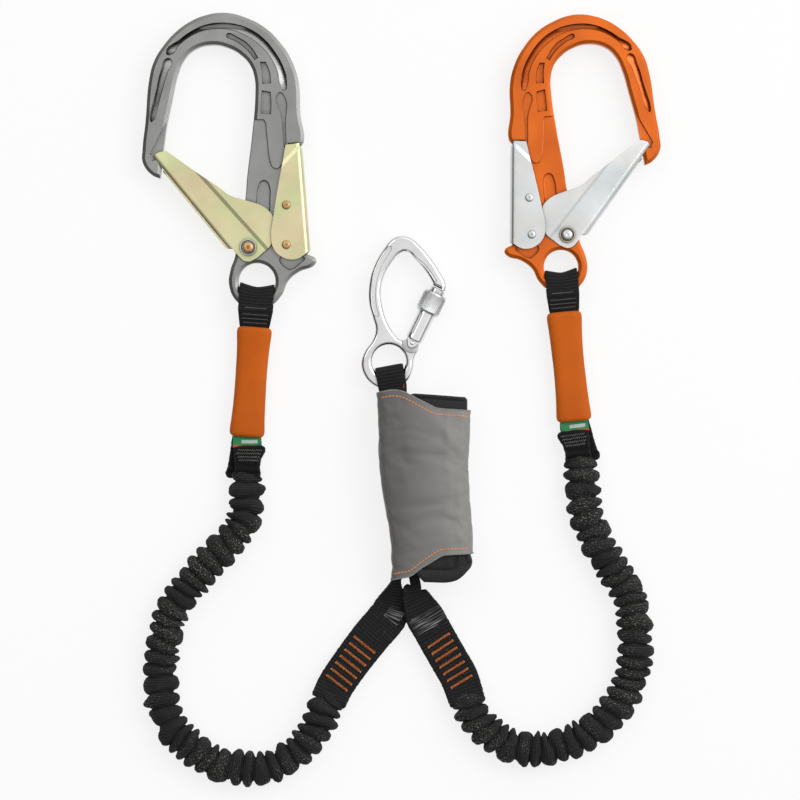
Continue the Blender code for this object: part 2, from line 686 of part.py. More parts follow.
def knurled_mesh(name, radius, bore, length, ribs, depth, chamfer):
    """A sleeve with fine ribs round it and a chamfer at each end."""
    count = ribs * 2

    def ring(r, z, wave):
        turns = [2 * math.pi * i / count for i in range(count)]
        return [((r - wave * (i % 2)) * math.cos(a), (r - wave * (i % 2)) * math.sin(a), z)
                for i, a in enumerate(turns)]

    rings = [ring(radius - chamfer, 0.0, 0.0), ring(radius, chamfer, depth),
             ring(radius, length - chamfer, depth), ring(radius - chamfer, length, 0.0),
             ring(bore, length, 0.0), ring(bore, 0.0, 0.0)]
    return loft_mesh(name, rings, closed=True)


def make_carabiner():
    frame = empty("carabiner_frame", (*CARA_EYE, CARA_MID_Z))
    body = new_object("carabiner_body", plate_mesh(
        "carabiner_body", [CARA_OUTLINE, ring_points((0.0, 0.0), CARA_EYE_R)], CARA_T,
        CARA_EDGE_R), STEEL, frame)
    half = CARA_T / 2
    tongue = CARA_TONGUE_T / 2
    for low, high in ((tongue, half + 1.0), (-half - 1.0, -tongue)):
        cut(body, cylinder_mesh("hinge", CARA_HINGE_R, low, high, CARA_PIVOT, 32))
    cut(body, cylinder_mesh("bore", CARA_PIN_R + PIN_CLEAR, -half, half, CARA_PIVOT))
    recess = plate_mesh("recess", [CARA_RECESS], 2 * CARA_RECESS_DEPTH, 0.0, 1, 1.0, 2)
    cut(body, recess, place=(0.0, 0.0, half))

    pivot = Vector((*CARA_PIVOT, 0.0)) * MM
    tip_start = CARA_GATE_LEN - CARA_GATE_TIP_LEN
    profile = [(0.0, CARA_GATE_LEN), (CARA_GATE_TIP_R - 0.8, CARA_GATE_LEN),
               (CARA_GATE_TIP_R, CARA_GATE_LEN - 0.8), (CARA_GATE_TIP_R, tip_start),
               (CARA_GATE_R, tip_start - 0.6), (CARA_GATE_R, CARA_GATE_START + 0.8),
               (CARA_GATE_R - 0.8, CARA_GATE_START), (0.0, CARA_GATE_START)]
    gate = new_object("carabiner_gate", along_gate(turned_mesh("gate", profile, 24)), STEEL, frame)
    gate.location = pivot
    cheek_half = CARA_T / 2 - 0.1
    cheek = plate_mesh("cheek", [[(-CARA_CHEEK_R, 0.0), (0.0, -CARA_CHEEK_R),
                                  (CARA_CHEEK_R, 0.0), (CARA_CHEEK_R, 6.0, "c"),
                                  (-CARA_CHEEK_R, 6.0, "c")]], 2 * cheek_half, 0.6)
    angle = math.atan2(CARA_GATE_DIR[1], CARA_GATE_DIR[0])
    cheek.transform(Matrix.Rotation(angle - math.pi / 2, 4, "Z"))
    cut(gate, cheek, "UNION")
    slot = tongue + SEAT
    cut(gate, gate_box("slot", (-12.0, 5.4), (-12.0, 12.0), (-slot, slot)))
    cut(gate, cylinder_mesh("bore", CARA_PIN_R + PIN_CLEAR, -half - 1, half + 1))
    bore = [(0.0, GATE_BORE_END), (GATE_BORE_R, GATE_BORE_END), (GATE_BORE_R, 3.0), (0.0, 3.0)]
    cut(gate, along_gate(turned_mesh("bore", bore, 20)))
    cut(gate, gate_box("groove", (7.0, SLEEVE_REST - 2.2),
                       (GROOVE_SIDE - GROOVE_W / 2, GROOVE_SIDE + GROOVE_W / 2), (5.2, 9.0)))

    pin = new_object("carabiner_gate_pin", cylinder_mesh("pin", CARA_PIN_R, -half + 0.1,
                                                         half - 0.1), STEEL, frame)
    pin.location = pivot
    sleeve = new_object("carabiner_lock_sleeve", along_gate(knurled_mesh(
        "sleeve", SLEEVE_R, CARA_GATE_R + PIN_CLEAR, SLEEVE_LEN, SLEEVE_RIBS,
        SLEEVE_RIB_DEPTH, SLEEVE_CHAMFER)), STEEL, frame)
    direction = Vector((*CARA_GATE_DIR, 0.0))
    sleeve.location = pivot + direction * SLEEVE_REST * MM
    plunger_start = 5.4 + SEAT
    plunger_end = plunger_start + PLUNGER_LEN
    profile = [(0.0, plunger_end), (PLUNGER_R, plunger_end), (PLUNGER_R, plunger_start + 1.0),
               (PLUNGER_R - 0.8, plunger_start), (0.0, plunger_start)]
    plunger = new_object("carabiner_gate_plunger", along_gate(turned_mesh("plunger", profile, 20)),
                         STEEL, frame)
    plunger.location = pivot
    wire = 0.7
    turns = 5
    low = plunger_end + SEAT + wire / 2
    high = GATE_BORE_END - SEAT - wire / 2
    radius = GATE_BORE_R - SEAT - wire / 2
    route = []
    for index in range(turns * 8 + 1):
        swing = 2 * math.pi * index / 8
        route.append((radius * math.cos(swing), radius * math.sin(swing),
                      low + (high - low) * index / (turns * 8)))
    coil = new_object("carabiner_gate_spring", along_gate(tube_mesh("coil", route, wire / 2, 1)),
                      SPRING_STEEL, frame)
    coil.location = pivot
    least_coil_gap("carabiner_gate_spring", wire, (high - low) / turns)


make_carabiner()

# Straps, grips, tags and cuffs of the two legs, on the plan
GRIP_TOP = {"left": (-116.8, 26.4), "right": (130.6, 38.6)}
GRIP_TURN_DEG = {"left": -4.2, "right": 5.5}
CUFF_TURN_DEG = {"left": 0.0, "right": 7.5}
LOOP_APEX_DROP = 3.5
GRIP_Z = GRIP_H / 2 + 0.3
CUFF_Z = GRIP_Z
CUFF_TOP_HALF_W = 12.0
CUFF_BODY = [(14.6, -7.0), (13.0, -18.0), (12.0, -CUFF_LEN, "c"), (-12.0, -CUFF_LEN, "c"),
             (-15.4, -26.0), (-13.4, -14.0)]


def down_grip(turn_deg, distance, across=0.0):
    turn = math.radians(turn_deg)
    down = Vector((math.sin(turn), -math.cos(turn)))
    right = Vector((math.cos(turn), math.sin(turn)))
    return down * distance + right * across


def strap_width(hole_r, drop, high, half_t):
    """The widest strap that turns inside a round eye, its fold drop below the centre."""
    free_y = drop + high - math.sqrt(high ** 2 - half_t ** 2) + STRAP_T
    return 2 * (math.sqrt(hole_r ** 2 - free_y ** 2) - 0.5)


def make_grip(tag, side, eye, scale):
    turn = GRIP_TURN_DEG[tag]
    top = Vector(GRIP_TOP[tag])
    frame = empty(f"{tag}_grip_frame", (*top, GRIP_Z), turn)
    widths = [(0.0, GRIP_END_W / 2 - GRIP_END_ROUND), (0.9, GRIP_END_W / 2 - 0.6),
              (3.0, GRIP_END_W / 2),
              (14.0, GRIP_END_W / 2 - 0.3), (44.0, GRIP_WAIST_W / 2),
              (GRIP_LEN - 14.0, GRIP_END_W / 2 - 0.3), (GRIP_LEN - 3.0, GRIP_END_W / 2),
              (GRIP_LEN - 0.9, GRIP_END_W / 2 - 0.6),
              (GRIP_LEN, GRIP_END_W / 2 - GRIP_END_ROUND)]
    outer = []
    for reach, half_w in widths:
        half_h = GRIP_H / 2 - (GRIP_END_W / 2 - half_w) * 0.6
        outer.append([(x, -reach, z) for x, z in section(half_w, half_h, GRIP_POINTS, 4.0)])
    inner = []
    for reach in (GRIP_LEN, GRIP_LEN / 2, 0.0):
        half_w = GRIP_WAIST_W / 2 - GRIP_WALL
        inner.append([(x, -reach, z)
                      for x, z in section(half_w, GRIP_H / 2 - GRIP_WALL - 0.4, GRIP_POINTS, 4.0)])
    new_object(f"{tag}_grip_sleeve", loft_mesh("grip", outer + inner, closed=True),
               ORANGE_RUBBER, frame, 60)

    foot = down_grip(turn, GRIP_LEN)
    cuff_at = empty(f"{tag}_cuff_frame", (*(top + foot), CUFF_Z), CUFF_TURN_DEG[tag])
    lean = math.sin(math.radians(turn - CUFF_TURN_DEG[tag])) * CUFF_TOP_HALF_W * side
    outline = [(-CUFF_TOP_HALF_W, -lean - SEAT, "c"), (CUFF_TOP_HALF_W, lean - SEAT, "c"),
               *CUFF_BODY]
    cuff = plate_mesh("cuff", [outline], CUFF_T, 2.0, side, 1.0, 3, 1)
    new_object(f"{tag}_sewn_cuff", cuff, BLACK_WEBBING, cuff_at, 50)
    tag_box = plate_mesh("tag", [[(-TAG_W / 2, -1.2, "c"), (TAG_W / 2, -1.2, "c"),
                                  (TAG_W / 2, -1.2 - TAG_LEN, "c"),
                                  (-TAG_W / 2, -1.2 - TAG_LEN, "c")]], TAG_T)
    label = new_object(f"{tag}_inspection_tag", tag_box, GREEN_TAG, cuff_at)
    label.location = Vector((0.0, 0.0, CUFF_T / 2 + SEAT + TAG_T / 2)) * MM

    ring_r = (HOOK_EYE_R + HOOK_EYE_RING) * scale
    hole_r = HOOK_EYE_R * scale
    high = HOOK_BODY_T / 2 + STRAP_CLEAR + STRAP_T / 2
    apex = Vector((eye[0], eye[1] - LOOP_APEX_DROP))
    strap_w = strap_width(hole_r, LOOP_APEX_DROP, high, HOOK_BODY_T / 2)
    start = top + down_grip(turn, GRIP_LEN)
    inside = GRIP_MOUTH_SPREAD
    reach = [(GRIP_LEN, STRAP_T / 2 + 0.3), (GRIP_LEN / 2, STRAP_T / 2 + 0.3),
             (4.0, inside), (-2.0, inside)]
    rows = loop_rows(start, apex, reach, ring_r - LOOP_APEX_DROP + 0.8, high, GRIP_Z,
                     HOOK_MID_Z, HOOK_STRAP_END_W, strap_w, (apex - top).length)
    ribbon_object(f"{tag}_hook_strap", rows, STRAP_T, BLACK_WEBBING)


def loop_rows(start, apex, reach, clear, high, z_start, z_apex, w_start, w_apex, mouth):
    """Rows of a strap that runs from start over a ring's bar to apex and back below it.

    reach lists (distance below the grip's top, half spread); mouth is how far the grip's
    top lies from the apex, and clear is where the bar ends below the apex.
    """
    start = Vector(start)
    length = (apex - start).length
    run = (apex - start) / length
    side = Vector((run.y, -run.x, 0.0))
    table = [(length - mouth - below, spread) for below, spread in reach]
    table = [(max(0.0, at), spread) for at, spread in table]
    table += [(length - clear, high), (length - high, high)]

    def row(at, rise):
        spot = start + run * at
        share = (at - (length - mouth)) / (mouth - clear)
        share = max(0.0, min(1.0, share))
        z = z_start + (z_apex - z_start) * share + rise
        return ((spot.x, spot.y, z), side, w_start + (w_apex - w_start) * share)

    rows = [row(at, spread) for at, spread in table]
    for step in range(1, 8):
        angle = math.pi / 2 - math.pi * step / 8
        rows.append(row(length - high + high * math.cos(angle), high * math.sin(angle)))
    rows += [row(at, -spread) for at, spread in reversed(table)]
    return rows


make_grip("left", 1, LEFT_EYE, LEFT_HOOK_SCALE)
make_grip("right", -1, RIGHT_EYE, RIGHT_HOOK_SCALE)

# Elastic legs: gathered tubular webbing over an elastic core, routes chosen by hand
LEFT_ROUTE = [
    (-123.2, -94.8), (-123.2, -106.0), (-123.6, -118.0), (-127.6, -130.6), (-135.0, -141.6),
    (-149.7, -158.4), (-163.0, -172.6), (-173.1, -186.1), (-183.0, -203.0), (-188.9, -219.0),
    (-191.6, -237.0), (-192.3, -257.0), (-189.6, -278.0), (-181.4, -295.6), (-167.0, -311.4),
    (-147.0, -322.4), (-124.6, -327.0), (-104.2, -325.0), (-84.6, -315.0), (-70.6, -298.4),
    (-62.6, -283.0), (-57.3, -272.3),
]
RIGHT_ROUTE = [
    (143.4, -82.1), (144.9, -93.5), (146.6, -107.0), (150.0, -126.8), (157.4, -145.8),
    (168.0, -163.0), (178.6, -180.0), (184.8, -199.0), (187.2, -220.0), (186.4, -241.3),
    (181.4, -263.0), (171.0, -281.0), (157.0, -294.6), (137.0, -305.4), (113.0, -311.0),
    (90.0, -309.0), (72.0, -300.4), (60.4, -287.0), (52.9, -272.6),
]


def make_elastic(tag, route, ribs):
    route3 = [(x, y, ELASTIC_Z) for x, y in route]
    points, length = smooth_route(route3, 2 * ribs)
    print(f"{tag} elastic leg: length {length:.0f} mm, rib pitch {length / ribs:.1f} mm")
    radii = [1.0 if i % 2 else ELASTIC_VALLEY for i in range(len(points))]
    flatten = Matrix.Translation((0.0, 0.0, ELASTIC_Z * MM)) @ Matrix.Diagonal(
        (1.0, 1.0, ELASTIC_FLAT, 1.0)) @ Matrix.Translation((0.0, 0.0, -ELASTIC_Z * MM))
    mesh = tube_mesh("elastic", points, ELASTIC_W / 2, 2, radii)
    mesh.transform(flatten)
    leg = new_object(f"{tag}_elastic_webbing", mesh, BLACK_WEBBING, None, 60)
    plain, _ = smooth_route(route3, CORE_POINTS)
    first = (plain[0] - plain[1]).normalized()
    last = (plain[-1] - plain[-2]).normalized()
    bore = tube_mesh("bore", [plain[0] + first * 3, *plain[1:-1], plain[-1] + last * 3],
                     ELASTIC_BORE_R, 1)
    bore.transform(flatten)
    cut(leg, bore)
    core = tube_mesh("core", plain, CORE_R, 1)
    new_object(f"{tag}_elastic_core", core, ELASTIC_CORE, None, 60)
    return points[-1], (points[-1] - points[-2]).normalized()

# Leg webbing from the absorber to each elastic leg: centre, side vector and width of rows
LEG_STACK_T = 5.6
LEG_ROWS = {
    "left": [((-2.0, -170.4, 15.0), (1.0, 0.0), 7.2), ((-2.8, -176.6, 13.0), (1.0, 0.0), 7.4),
             ((-4.9, -182.0, 11.0), (1.0, -0.15), 10.5), ((-8.6, -189.5, 9.4), (0.97, -0.25), 19.0),
             ((-12.2, -198.0, 8.4), (0.93, -0.37), 27.0), ((-17.8, -210.0, 8.0), (0.85, -0.52), 31.0),
             ((-23.9, -221.3, 8.0), (0.81, -0.59), 31.0), ((-40.1, -242.9, 8.2), (0.81, -0.59), 30.0),
             ((-52.0, -260.5, 8.6), (0.83, -0.56), 29.5)],
    "right": [((9.6, -170.4, 15.0), (1.0, 0.1), 7.6), ((11.2, -178.4, 12.0), (1.0, 0.2), 8.2),
              ((12.2, -191.2, 9.6), (0.98, 0.17), 20.0), ((19.5, -203.3, 8.2), (0.87, 0.49), 30.0),
              ((25.0, -214.0, 8.0), (0.87, 0.49), 30.5), ((30.7, -225.6, 8.0), (0.87, 0.49), 30.5),
              ((38.9, -240.0, 8.2), (0.87, 0.49), 30.5), ((47.1, -254.7, 8.6), (0.87, 0.49), 30.5)],
}
LEG_END_W = 29.0


def make_leg(tag, route, ribs):
    """The webbing's last row lies against the end of the elastic leg, square to it."""
    end, run = make_elastic(tag, route, ribs)
    rows = [(centre, (*side, 0.0), width) for centre, side, width in LEG_ROWS[tag]]
    rows.append((end + run * 2 * SEAT, (run.y, -run.x, 0.0), LEG_END_W))
    ribbon_object(f"{tag}_leg_webbing", rows, LEG_STACK_T, BLACK_WEBBING)


make_leg("left", LEFT_ROUTE, LEFT_RIBS)
make_leg("right", RIGHT_ROUTE, RIGHT_RIBS)

# Absorber: a fabric cover round an inner sleeve, which holds the folded tear webbing
COVER_TOP = [(-18.9, -26.6), (-11.0, -24.6), (-3.9, -23.9), (3.4, -25.6), (13.9, -31.6),
             (25.9, -38.2), (31.2, -39.0), (56.0, -40.6)]
COVER_BOTTOM = [(-8.6, -175.4), (-1.3, -173.6), (7.4, -172.3), (17.9, -163.7), (31.2, -155.0),
                (58.0, -153.8)]
COVER_LEFT = [(-176.0, -8.0), (-151.0, -6.2), (-135.0, -8.6), (-112.0, -12.6), (-96.0, -14.9),
              (-79.7, -16.9), (-47.8, -17.5), (-24.0, -18.9)]
COVER_RIGHT = [(-154.4, 57.8), (-135.8, 57.0), (-115.9, 55.1), (-97.6, 53.8), (-83.0, 53.0),
               (-61.0, 55.1), (-40.0, 55.5)]
COVER_MID_Z = POUCH_T / 2 + 0.2
SLEEVE_TOP = [(-18.0, -34.0), (0.0, -30.0), (8.0, -26.5), (54.0, -29.6)]
SLEEVE_BOTTOM = [(-8.0, -166.0), (10.0, -168.0), (14.0, -176.6), (38.0, -177.3), (58.0, -172.0)]
SECTION_POINTS = 24
END_PINCH = 0.08
BACK_DROP = 7.0
BAG_ROWS = 8
BAG_POWER = 5.0


def bag_mesh(name, top, bottom, left, right, mid_z, half_t, inset, rows):
    """An open tube round the absorber whose two rims follow the top and bottom lines."""
    y_mid = (left[0][0] + left[-1][0]) / 2
    y_half = (left[-1][0] - left[0][0]) / 2
    rings = []
    for index in range(rows + 1):
        share = index / rows
        ring = []
        for cx, cz in section(1.0, 1.0, SECTION_POINTS, BAG_POWER):
            x_guess = (left[-1][1] + right[-1][1]) / 2 + cx * (right[-1][1] - left[-1][1]) / 2
            x_low = (left[0][1] + right[0][1]) / 2 + cx * (right[0][1] - left[0][1]) / 2
            y_top = level(top, x_guess) - BACK_DROP * max(0.0, -cz)
            y = y_top * (1 - share) + level(bottom, x_low) * share
            low = level(left, y) + inset
            high = level(right, y) - inset
            x = (low + high) / 2 + cx * (high - low) / 2
            puff = 1.0 - END_PINCH * abs((y - y_mid) / y_half) ** 3
            ring.append((x, y, mid_z + (half_t * puff - inset) * cz))
        rings.append(ring)
    return loft_mesh(name, rings)


def make_shell(name, mesh, wall, look):
    made = new_object(name, mesh, look, None, 60)
    shell = made.modifiers.new("wall", "SOLIDIFY")
    shell.thickness = wall * MM
    shell.offset = -1.0
    shell.use_even_offset = True
    return made


def make_absorber():
    half_t = POUCH_T / 2
    make_shell("absorber_cover", bag_mesh("cover", COVER_TOP, COVER_BOTTOM, COVER_LEFT,
                                          COVER_RIGHT, COVER_MID_Z, half_t, 0.0, BAG_ROWS),
               POUCH_WALL, GREY_FABRIC)
    inset = POUCH_WALL + PACK_CLEAR
    make_shell("absorber_inner_sleeve", bag_mesh("inner", SLEEVE_TOP, SLEEVE_BOTTOM, COVER_LEFT,
                                                 COVER_RIGHT, COVER_MID_Z, half_t, inset, BAG_ROWS),
               PACK_SLEEVE_T, BLACK_WEBBING)
    pitch = FOLD_PITCH
    stack = pitch * (FOLD_COUNT - 1)
    rows = []
    for fold in range(FOLD_COUNT):
        z = COVER_MID_Z - stack / 2 + pitch * fold
        ends = (FOLD_BASE, FOLD_TOP) if fold % 2 == 0 else (FOLD_TOP, FOLD_BASE)
        for share in (0.0, 0.5, 1.0):
            y = ends[0] + (ends[1] - ends[0]) * share
            rows.append(((FOLD_X, y, z), (1.0, 0.0, 0.0), FOLD_W))
        if fold < FOLD_COUNT - 1:
            out = 1 if ends[1] == FOLD_TOP else -1
            for angle in (-45, 0, 45):
                turn = math.radians(angle)
                rows.append(((FOLD_X, ends[1] + out * pitch / 2 * math.cos(turn),
                              z + pitch / 2 + pitch / 2 * math.sin(turn)),
                             (1.0, 0.0, 0.0), FOLD_W))
    ribbon_object("absorber_tear_webbing", rows, FOLD_WEB_T, BLACK_WEBBING)

    high = CARA_T / 2 + STRAP_CLEAR + STRAP_T / 2
    apex = Vector((CARA_EYE[0], CARA_EYE[1] - CARA_LOOP_DROP))
    stack_top = FOLD_TOP + FOLD_PITCH / 2 + FOLD_WEB_T / 2
    start = Vector((CARA_EYE[0] + CARA_STRAP_SHIFT, stack_top + 3 * SEAT))
    start.y -= CARA_STRAP_W / 2 * CARA_STRAP_SHIFT / (apex - start).length
    length = (apex - start).length
    width = strap_width(CARA_EYE_R, CARA_LOOP_DROP, high, CARA_T / 2)
    rows = loop_rows(start, apex, [(length, STRAP_T / 2 + 0.6)],
                     CARA_EYE_R + CARA_RING_W - CARA_EDGE_R / 2 - CARA_LOOP_DROP, high,
                     COVER_MID_Z, CARA_MID_Z, CARA_STRAP_W, width, length)
    ribbon_object("absorber_upper_strap", rows, STRAP_T, BLACK_WEBBING)


make_absorber()
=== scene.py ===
import math
import random
from contextlib import contextmanager

import bmesh
import bpy
from mathutils import Matrix, Vector, noise
from mathutils.bvhtree import BVHTree


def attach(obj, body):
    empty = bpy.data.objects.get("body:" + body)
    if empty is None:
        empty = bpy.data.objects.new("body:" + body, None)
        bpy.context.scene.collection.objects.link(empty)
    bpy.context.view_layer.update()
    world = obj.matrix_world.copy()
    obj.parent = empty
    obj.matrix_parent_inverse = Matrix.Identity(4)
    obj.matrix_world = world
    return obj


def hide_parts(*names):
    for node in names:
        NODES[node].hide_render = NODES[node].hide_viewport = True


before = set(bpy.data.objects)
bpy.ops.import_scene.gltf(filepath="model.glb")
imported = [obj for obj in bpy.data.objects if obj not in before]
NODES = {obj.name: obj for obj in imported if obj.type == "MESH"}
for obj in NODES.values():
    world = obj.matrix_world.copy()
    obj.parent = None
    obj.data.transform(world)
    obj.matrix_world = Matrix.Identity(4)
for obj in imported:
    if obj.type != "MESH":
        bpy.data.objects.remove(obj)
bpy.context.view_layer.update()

# Sizes are in millimetres, as in the CAD, and the layout's zero is moved by SHIFT
MM = 0.001
SHIFT = Vector((-0.53, 0.70, 0.0))
SCENE = bpy.context.scene

# Camera, light and floor
VIEW_CENTRE = (-0.00101, -0.0313)
VIEW_WIDTH = 0.640
VIEW_HEIGHT = 2.6
SUBJECT_Z = 0.011
FLOOR_DROP = 0.0006


def linked(name, data):
    """A new object in the scene."""
    made = bpy.data.objects.new(name, data)
    SCENE.collection.objects.link(made)
    return made


@contextmanager
def editing(mesh):
    """The mesh as a bmesh, written back to it at the end."""
    work = bmesh.new()
    work.from_mesh(mesh)
    yield work
    work.to_mesh(mesh)
    work.free()


def make_camera():
    data = bpy.data.cameras.new("photo_camera")
    data.sensor_width = 36.0
    data.lens = data.sensor_width * VIEW_HEIGHT / VIEW_WIDTH
    SCENE.camera = linked("photo_camera", data)
    SCENE.camera.location = (*VIEW_CENTRE, SUBJECT_Z + VIEW_HEIGHT)


def area_light(name, place, size, power):
    """A rectangular light that shines at the middle of the floor."""
    data = bpy.data.lights.new(name, "AREA")
    data.shape = "RECTANGLE"
    data.size, data.size_y = size
    data.energy = power
    made = linked(name, data)
    made.location = place
    made.rotation_euler = Vector(place).to_track_quat("Z", "Y").to_euler()


def node(tree, kind, inputs=None, **props):
    """A shader node; a socket given as an input is linked, another value is set."""
    made = tree.nodes.new("ShaderNode" + kind)
    for key, value in props.items():
        setattr(made, key, value)
    for key, value in (inputs or {}).items():
        if isinstance(value, bpy.types.NodeSocket):
            tree.links.new(value, made.inputs[key])
        else:
            made.inputs[key].default_value = value
    return made


def ramp(tree, value, stops):
    """A ramp with stops of (place, grey level)."""
    made = node(tree, "ValToRGB", {"Fac": value})
    points = made.color_ramp.elements
    while len(points) < len(stops):
        points.new(1.0)
    for point, (place, grey) in zip(points, stops):
        point.position = place
        point.color = (grey, grey, grey, 1.0)
    return made.outputs["Color"]


def math_node(tree, operation, first, second):
    return node(tree, "Math", {0: first, 1: second}, operation=operation).outputs[0]


def plus(tree, first, second):
    return math_node(tree, "ADD", first, second)


def times(tree, first, second):
    return math_node(tree, "MULTIPLY", first, second)


def mapped(tree, value, low=0.0, high=1.0, start=0.0, end=1.0):
    """The value, with low to high spread over start to end and clamped."""
    return node(tree, "MapRange", {0: value, 1: low, 2: high, 3: start, 4: end}).outputs[0]


def blend_colour(tree, share, first, second):
    """Mixes two colours; each is a socket or an (r, g, b)."""
    made = node(tree, "Mix", {0: share}, data_type="RGBA")
    for index, value in ((6, first), (7, second)):
        if isinstance(value, bpy.types.NodeSocket):
            tree.links.new(value, made.inputs[index])
        else:
            made.inputs[index].default_value = (*value, 1.0)
    return made.outputs[2]


def seen_directly(tree):
    """1 for rays from the camera, and for those off metal and through glass."""
    path = node(tree, "LightPath")
    both = math_node(tree, "MAXIMUM", path.outputs["Is Camera Ray"], path.outputs["Is Glossy Ray"])
    return math_node(tree, "MAXIMUM", both, path.outputs["Is Transmission Ray"])


# Sky brightness from straight down (0) to straight up (1), away from the window and towards it
DIM_SIDE = [(0.0, 0.50), (0.50, 0.12), (0.70, 0.05), (0.86, 0.22), (0.94, 0.68), (1.0, 0.92)]
LIT_SIDE = [(0.0, 0.50), (0.50, 0.40), (0.64, 0.90), (0.80, 1.90), (0.88, 1.30), (1.0, 0.88)]
WINDOW = (0.66, 0.64, 0.0)


def make_world():
    world = bpy.data.worlds.new("studio")
    world.use_nodes = True
    SCENE.world = world
    tree = world.node_tree
    tree.nodes.clear()
    direction = node(tree, "TexCoord").outputs["Generated"]
    height = node(tree, "SeparateXYZ", {0: direction}).outputs["Z"]
    share = mapped(tree, height, -1.0)
    facing = node(tree, "VectorMath", {0: direction, 1: WINDOW}, operation="DOT_PRODUCT")
    side = mapped(tree, facing.outputs["Value"], -0.35, 0.70)
    shade = blend_colour(tree, side, ramp(tree, share, DIM_SIDE), ramp(tree, share, LIT_SIDE))
    sky = node(tree, "Background", {"Color": shade, "Strength": 1.0})
    white = node(tree, "Background", {"Color": (1.0, 1.0, 1.0, 1.0), "Strength": 1.0})
    camera_ray = node(tree, "LightPath").outputs["Is Camera Ray"]
    mixed = node(tree, "MixShader", {0: camera_ray, 1: sky.outputs[0], 2: white.outputs[0]})
    node(tree, "OutputWorld", {"Surface": mixed.outputs[0]})


def make_floor():
    mesh = bpy.data.meshes.new("floor")
    with editing(mesh) as work:
        bmesh.ops.create_grid(work, x_segments=1, y_segments=1, size=3.0)
    made = linked("floor", mesh)
    made.location.z = -FLOOR_DROP
    look = bpy.data.materials.new("floor_white")
    look.use_nodes = True
    tree = look.node_tree
    tree.nodes.clear()
    paint = node(tree, "BsdfDiffuse", {"Color": (0.93, 0.93, 0.93, 1.0)})
    glow = node(tree, "Emission", {"Color": (1.0, 1.0, 1.0, 1.0), "Strength": 1.0})
    share = times(tree, seen_directly(tree), 0.80)
    mixed = node(tree, "MixShader", {0: share, 1: paint.outputs[0], 2: glow.outputs[0]})
    node(tree, "OutputMaterial", {"Surface": mixed.outputs[0]})
    mesh.materials.append(look)


SCENE.view_settings.view_transform = "Standard"
make_camera()
make_world()
make_floor()
area_light("key", (0.95, 0.45, 1.25), (0.8, 1.0), 7.0)
area_light("fill", (-0.80, 0.70, 1.35), (0.9, 0.7), 2.5)


# Materials: coordinates are metres on the object, or UVs in metres on webbing
def material(name, inputs):
    """A new material, its nodes and its shader with the given inputs."""
    made = bpy.data.materials.new(name)
    made.use_nodes = True
    tree = made.node_tree
    shader = tree.nodes["Principled BSDF"]
    for key, value in inputs.items():
        shader.inputs[key].default_value = value
    return made, tree, shader


def scaled(tree, output, factors):
    """Coordinates of the surface times the factors."""
    source = node(tree, "TexCoord").outputs[output]
    return node(tree, "Mapping", {"Vector": source, "Scale": factors}).outputs[0]


def texture_noise(tree, scale, detail=3.0, factors=(1.0, 1.0, 1.0), output="Object", distort=0.0):
    made = node(tree, "TexNoise", {"Vector": scaled(tree, output, factors), "Scale": scale,
                                   "Detail": detail, "Distortion": distort})
    return made.outputs[0]


def shaded(colour, factor):
    return tuple(part * factor for part in colour)


def finish_material(tree, shader, colour, roughness, height, strength, distance):
    tree.links.new(colour, shader.inputs["Base Color"])
    tree.links.new(roughness, shader.inputs["Roughness"])
    bump = node(tree, "Bump", {"Height": height, "Strength": strength, "Distance": distance})
    tree.links.new(bump.outputs[0], shader.inputs["Normal"])


def painted_shade(tree, reach, low, high, most):
    """A share that rises in corners and creases: painted shade, darkest where little of the
    surroundings is open.
    """
    open_share = node(tree, "AmbientOcclusion", {"Distance": reach}, samples=8).outputs["AO"]
    return mapped(tree, open_share, high, low, end=most)


def metal_material(name, dark, light, rough, metallic, coat=0.0, tint=(),
                   grain=(1.0, 1.0, 1.0), corner_shade=(0.012, 0.011, 0.010), outline_shade_share=0.0):
    """Plated, painted or polished metal with cloudy tone and fine grain, and painted shade in its
    corners and as dark outlines along tight recesses.
    """
    made, tree, shader = material(
        name, {"Metallic": metallic, "Coat Weight": coat, "Coat Roughness": 0.12})
    clouds = texture_noise(tree, 38.0, 4.0)
    colour = blend_colour(tree, ramp(tree, clouds, [(0.32, 0.0), (0.70, 1.0)]), dark, light)
    if tint:
        film = texture_noise(tree, 21.0, 2.0, distort=1.2)
        for (low, high), shade in zip(((0.42, 0.60), (0.60, 0.42)), tint):
            colour = blend_colour(tree, mapped(tree, film, low, high, end=0.32), colour, shade)
    fine = texture_noise(tree, 900.0, 3.0, grain)
    speck = texture_noise(tree, 2600.0, 2.0)
    # Painted shade: the colour darkens in corners, grooves and where parts meet.
    colour = blend_colour(tree, painted_shade(tree, 0.0045, 0.34, 0.92, 0.8), colour, corner_shade)
    # Painted shade: thin dark outlines along tight recesses and edges.
    if outline_shade_share:
        colour = blend_colour(tree, painted_shade(tree, 0.0016, 0.55, 0.90, outline_shade_share), colour, corner_shade)
    level = mapped(tree, clouds, 0.2, 0.8, rough * 0.75, rough * 1.25)
    roughness = plus(tree, level, times(tree, fine, 0.06))
    height = plus(tree, fine, times(tree, speck, 0.5))
    finish_material(tree, shader, colour, roughness, height, 0.11, 0.00005)
    return made


def weave_height(tree, width, row):
    """Yarn cells of the given size in millimetres: (height, tone of each cell)."""
    brick = node(tree, "TexBrick", {
        "Vector": scaled(tree, "UV", (1000.0, 1000.0, 1000.0)), "Color1": (0.0, 0.0, 0.0, 1.0),
        "Color2": (1.0, 1.0, 1.0, 1.0), "Mortar": (0.5, 0.5, 0.5, 1.0), "Scale": 1.0,
        "Mortar Size": row * 0.16, "Mortar Smooth": 1.0, "Brick Width": width,
        "Row Height": row}, offset=0.5)
    return math_node(tree, "SUBTRACT", 1.0, brick.outputs["Fac"]), brick.outputs["Color"]


